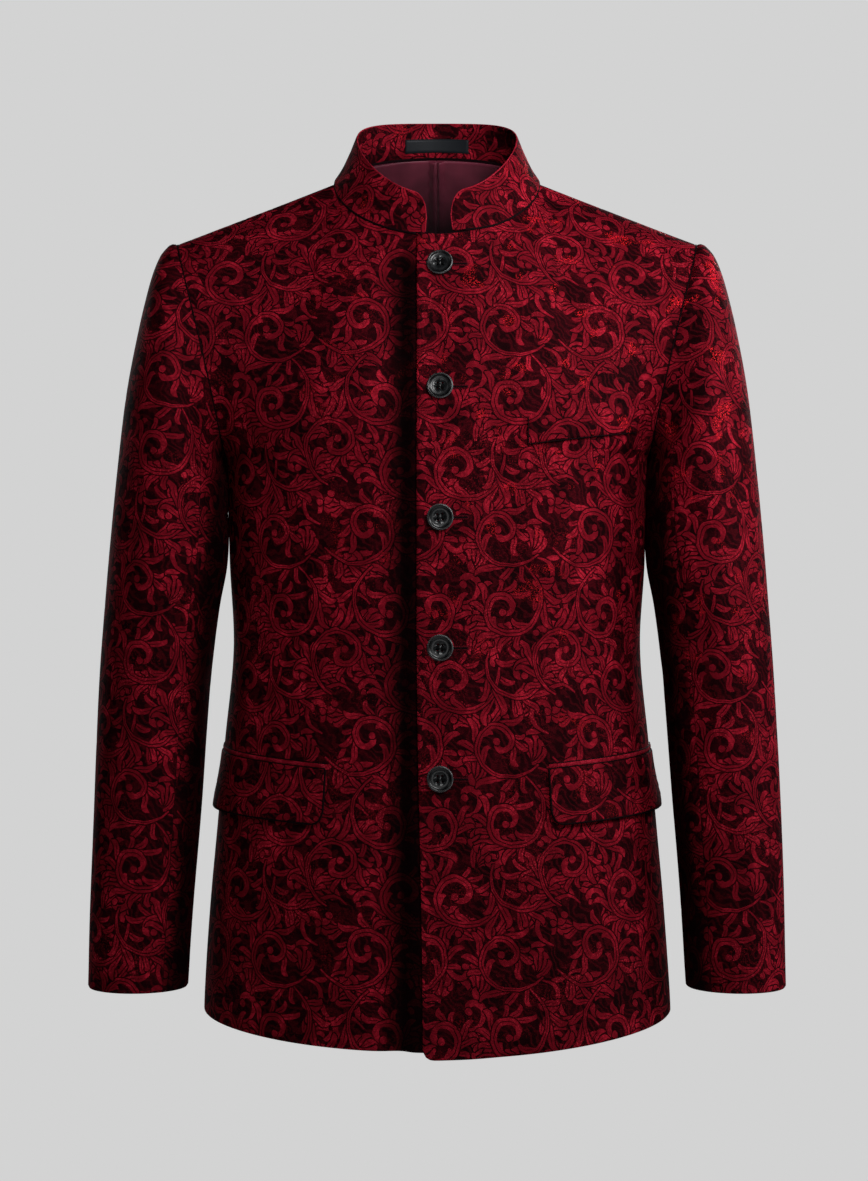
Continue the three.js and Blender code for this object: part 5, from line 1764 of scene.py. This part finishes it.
def add_lights():
    for row in LIGHTS:
        data = bpy.data.lights.new(row["name"], "AREA")
        data.size, data.energy, data.spread = row["size"], row["power"], math.radians(row["spread"])
        light = bpy.data.objects.new(row["name"], data)
        light.location = row["place"]
        way = Vector(row["aim"]) - Vector(row["place"])
        light.rotation_euler = way.to_track_quat("-Z", "Y").to_euler()
        bpy.context.scene.collection.objects.link(light)


def add_world():
    """A pale grey backdrop, which lights the jacket less than it shows."""
    world = bpy.data.worlds.new("studio")
    world.use_nodes = True
    tree = world.node_tree
    backdrop = tree.nodes["Background"]
    backdrop.inputs["Color"].default_value = srgb(211, 211, 211)
    backdrop.inputs["Strength"].default_value = 1.0
    soft = node(tree, "ShaderNodeBackground", {"Color": (0.55, 0.55, 0.6, 1), "Strength": 0.012})
    seen = node(tree, "ShaderNodeLightPath").outputs["Is Camera Ray"]
    both = node(tree, "ShaderNodeMixShader", {0: seen, 1: soft.outputs[0], 2: backdrop.outputs[0]})
    tree.links.new(both.outputs[0], tree.nodes["World Output"].inputs["Surface"])
    bpy.context.scene.world = world


FLOOR = dict(z=-1250, radius=1200, sides=96)


def add_floor():
    edge = circle(np.arange(FLOOR["sides"]) * 360 / FLOOR["sides"]) * FLOOR["radius"]
    ring = np.column_stack([edge, np.full(len(edge), FLOOR["z"])])
    mesh = bpy.data.meshes.new("floor")
    mesh.from_pydata((ring * MM).tolist(), [], [list(range(len(ring)))])
    material, _, _ = shader("floor", Roughness=0.8, Base_Color=srgb(244, 244, 244))
    mesh.materials.append(material)
    floor = bpy.data.objects.new("floor", mesh)
    bpy.context.scene.collection.objects.link(floor)


# ------------------------------------------------------------------ assembly
add_camera()
add_lights()
add_world()
add_floor()
bpy.context.scene.view_settings.view_transform = "Standard"

damask = Damask()
CLOTH_SLOTS = [GROUND, FIGURE, SATIN]
# Where the repeat starts on each piece.
SHIFTS = {
    "front_left": (34, 92),
    "front_right": (118, 92),
    "back_left": (60, 20),
    "back_right": (96, 20),
    "sleeve_top_left": (12, 140),
    "sleeve_under_left": (84, 140),
    "sleeve_top_right": (70, 66),
    "sleeve_under_right": (142, 66),
    "collar": (22, 50),
    "pocket_flap_left": (90, 40),
    "pocket_flap_right": (46, 150),
    "chest_welt": (34, 92),
}
FRONT_BORDERS, BACK_BORDERS = ("free", "seam", "free", "seam"), ("seam", "seam", "free", "seam")
BUTTON_TURNS = (4, -3, 6, -8, 2)
SHEETS = []


def make(piece, replaces, slot="velvet", materials=CLOTH_SLOTS, patterned=True, spacing=3.0, **kwargs):
    shift = np.array(SHIFTS.get(replaces, (0, 0)), float)
    pattern = damask if patterned else None
    made = build(piece, pattern, shift, materials, slot, spacing, replaces, **kwargs)
    SHEETS.append((made, piece))


pieces = {}
for side, hand in ((LEFT, "left"), (RIGHT, "right")):
    front, back = f"front_{hand}", f"back_{hand}"
    pieces[front] = body_piece(f"{front}_cloth", FRONT, side, *front_net(side), FRONT_BORDERS)
    pieces[back] = body_piece(f"{back}_cloth", BACK, side, *back_net(side), BACK_BORDERS)
    pieces[f"sleeve_top_{hand}"] = sleeve_piece(f"sleeve_top_{hand}_cloth", side, TOP_TURNS)
    pieces[f"sleeve_under_{hand}"] = sleeve_piece(f"sleeve_under_{hand}_cloth", side, UNDER_TURNS)
    pieces[f"pocket_flap_{hand}"], pieces[f"pocket_jet_{hand}"] = flap_pieces(side, hand)
turn, collar_middle = collar_net()
pieces["collar"] = collar_piece(collar_middle)
pieces["chest_welt"] = chest_welt_piece(pieces["front_left"])
for name, piece in pieces.items():
    if "jet" in name:
        # the jets are cut in brighter velvet, figure for the ground and the painted fold highlight for the
        # figure
        make(piece, name, spacing=1.5, materials=[FIGURE, FOLD_HIGHLIGHT, SATIN])
    # the right front takes the velvet with painted shadow beside the lap
    elif name == "front_right":
        make(piece, name, materials=[GROUND_LAP_SHADOW, FIGURE_LAP_SHADOW, SATIN])
    # the sleeves take the velvet with painted shade on their inner sides
    elif "sleeve" in name:
        make(piece, name, materials=[GROUND_ARM_SHADE, FIGURE_ARM_SHADE, SATIN])
    else:
        make(piece, name, inner_patterned=name == "collar")
make(lining_piece(), "lining_back", "lining", [SATIN] * 3, patterned=False, spacing=2.2)
make(label_piece(turn, collar_middle), "label", "label", [RIBBON] * 3, patterned=False, spacing=1.5)

add_solid("collar_fold_highlight", [collar_fold_highlight(pieces["collar"])], [FOLD_HIGHLIGHT])
# the seam tapes and the painted shadow lines are one dark object
add_solid("seam_tapes", seam_tapes(pieces) + painted_shadow_lines(pieces), [SEAM_THREAD_AND_SHADOW])
for k, (z, turned) in enumerate(zip(BUTTON_Z, BUTTON_TURNS), 1):
    p, n = front_place(pieces["front_left"], BUTTON["x"], z)
    base = frame_at(p + n * BUTTON["stand"], n)
    part, of_face = button_parts(turned)
    resin = [HORN, HORN_DISH, HORN_RIM_HIGHLIGHT]
    button = add_solid(f"button_{k}_resin", placed([part], base), resin, of_face)
    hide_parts(f"button_{k}")
    strands = placed(thread_parts(turned, BUTTON["stand"]), base)
    add_solid(f"button_{k}_thread", strands, [BUTTON_THREAD])
    stitches, slit = buttonhole_parts(pieces["front_left"], z - HOLE["drop"])
    add_solid(f"buttonhole_{k}", [stitches], [HOLE_THREAD])
    add_solid(f"buttonhole_{k}_slit", [slit], [SEAM_THREAD_AND_SHADOW])

# Each sheet's flat size and area. A jet is one of its flap's trims.
for made, piece in SHEETS:
    if "jet" in made.name:
        continue
    ring = sample(piece.flat, piece.rim(2.0))
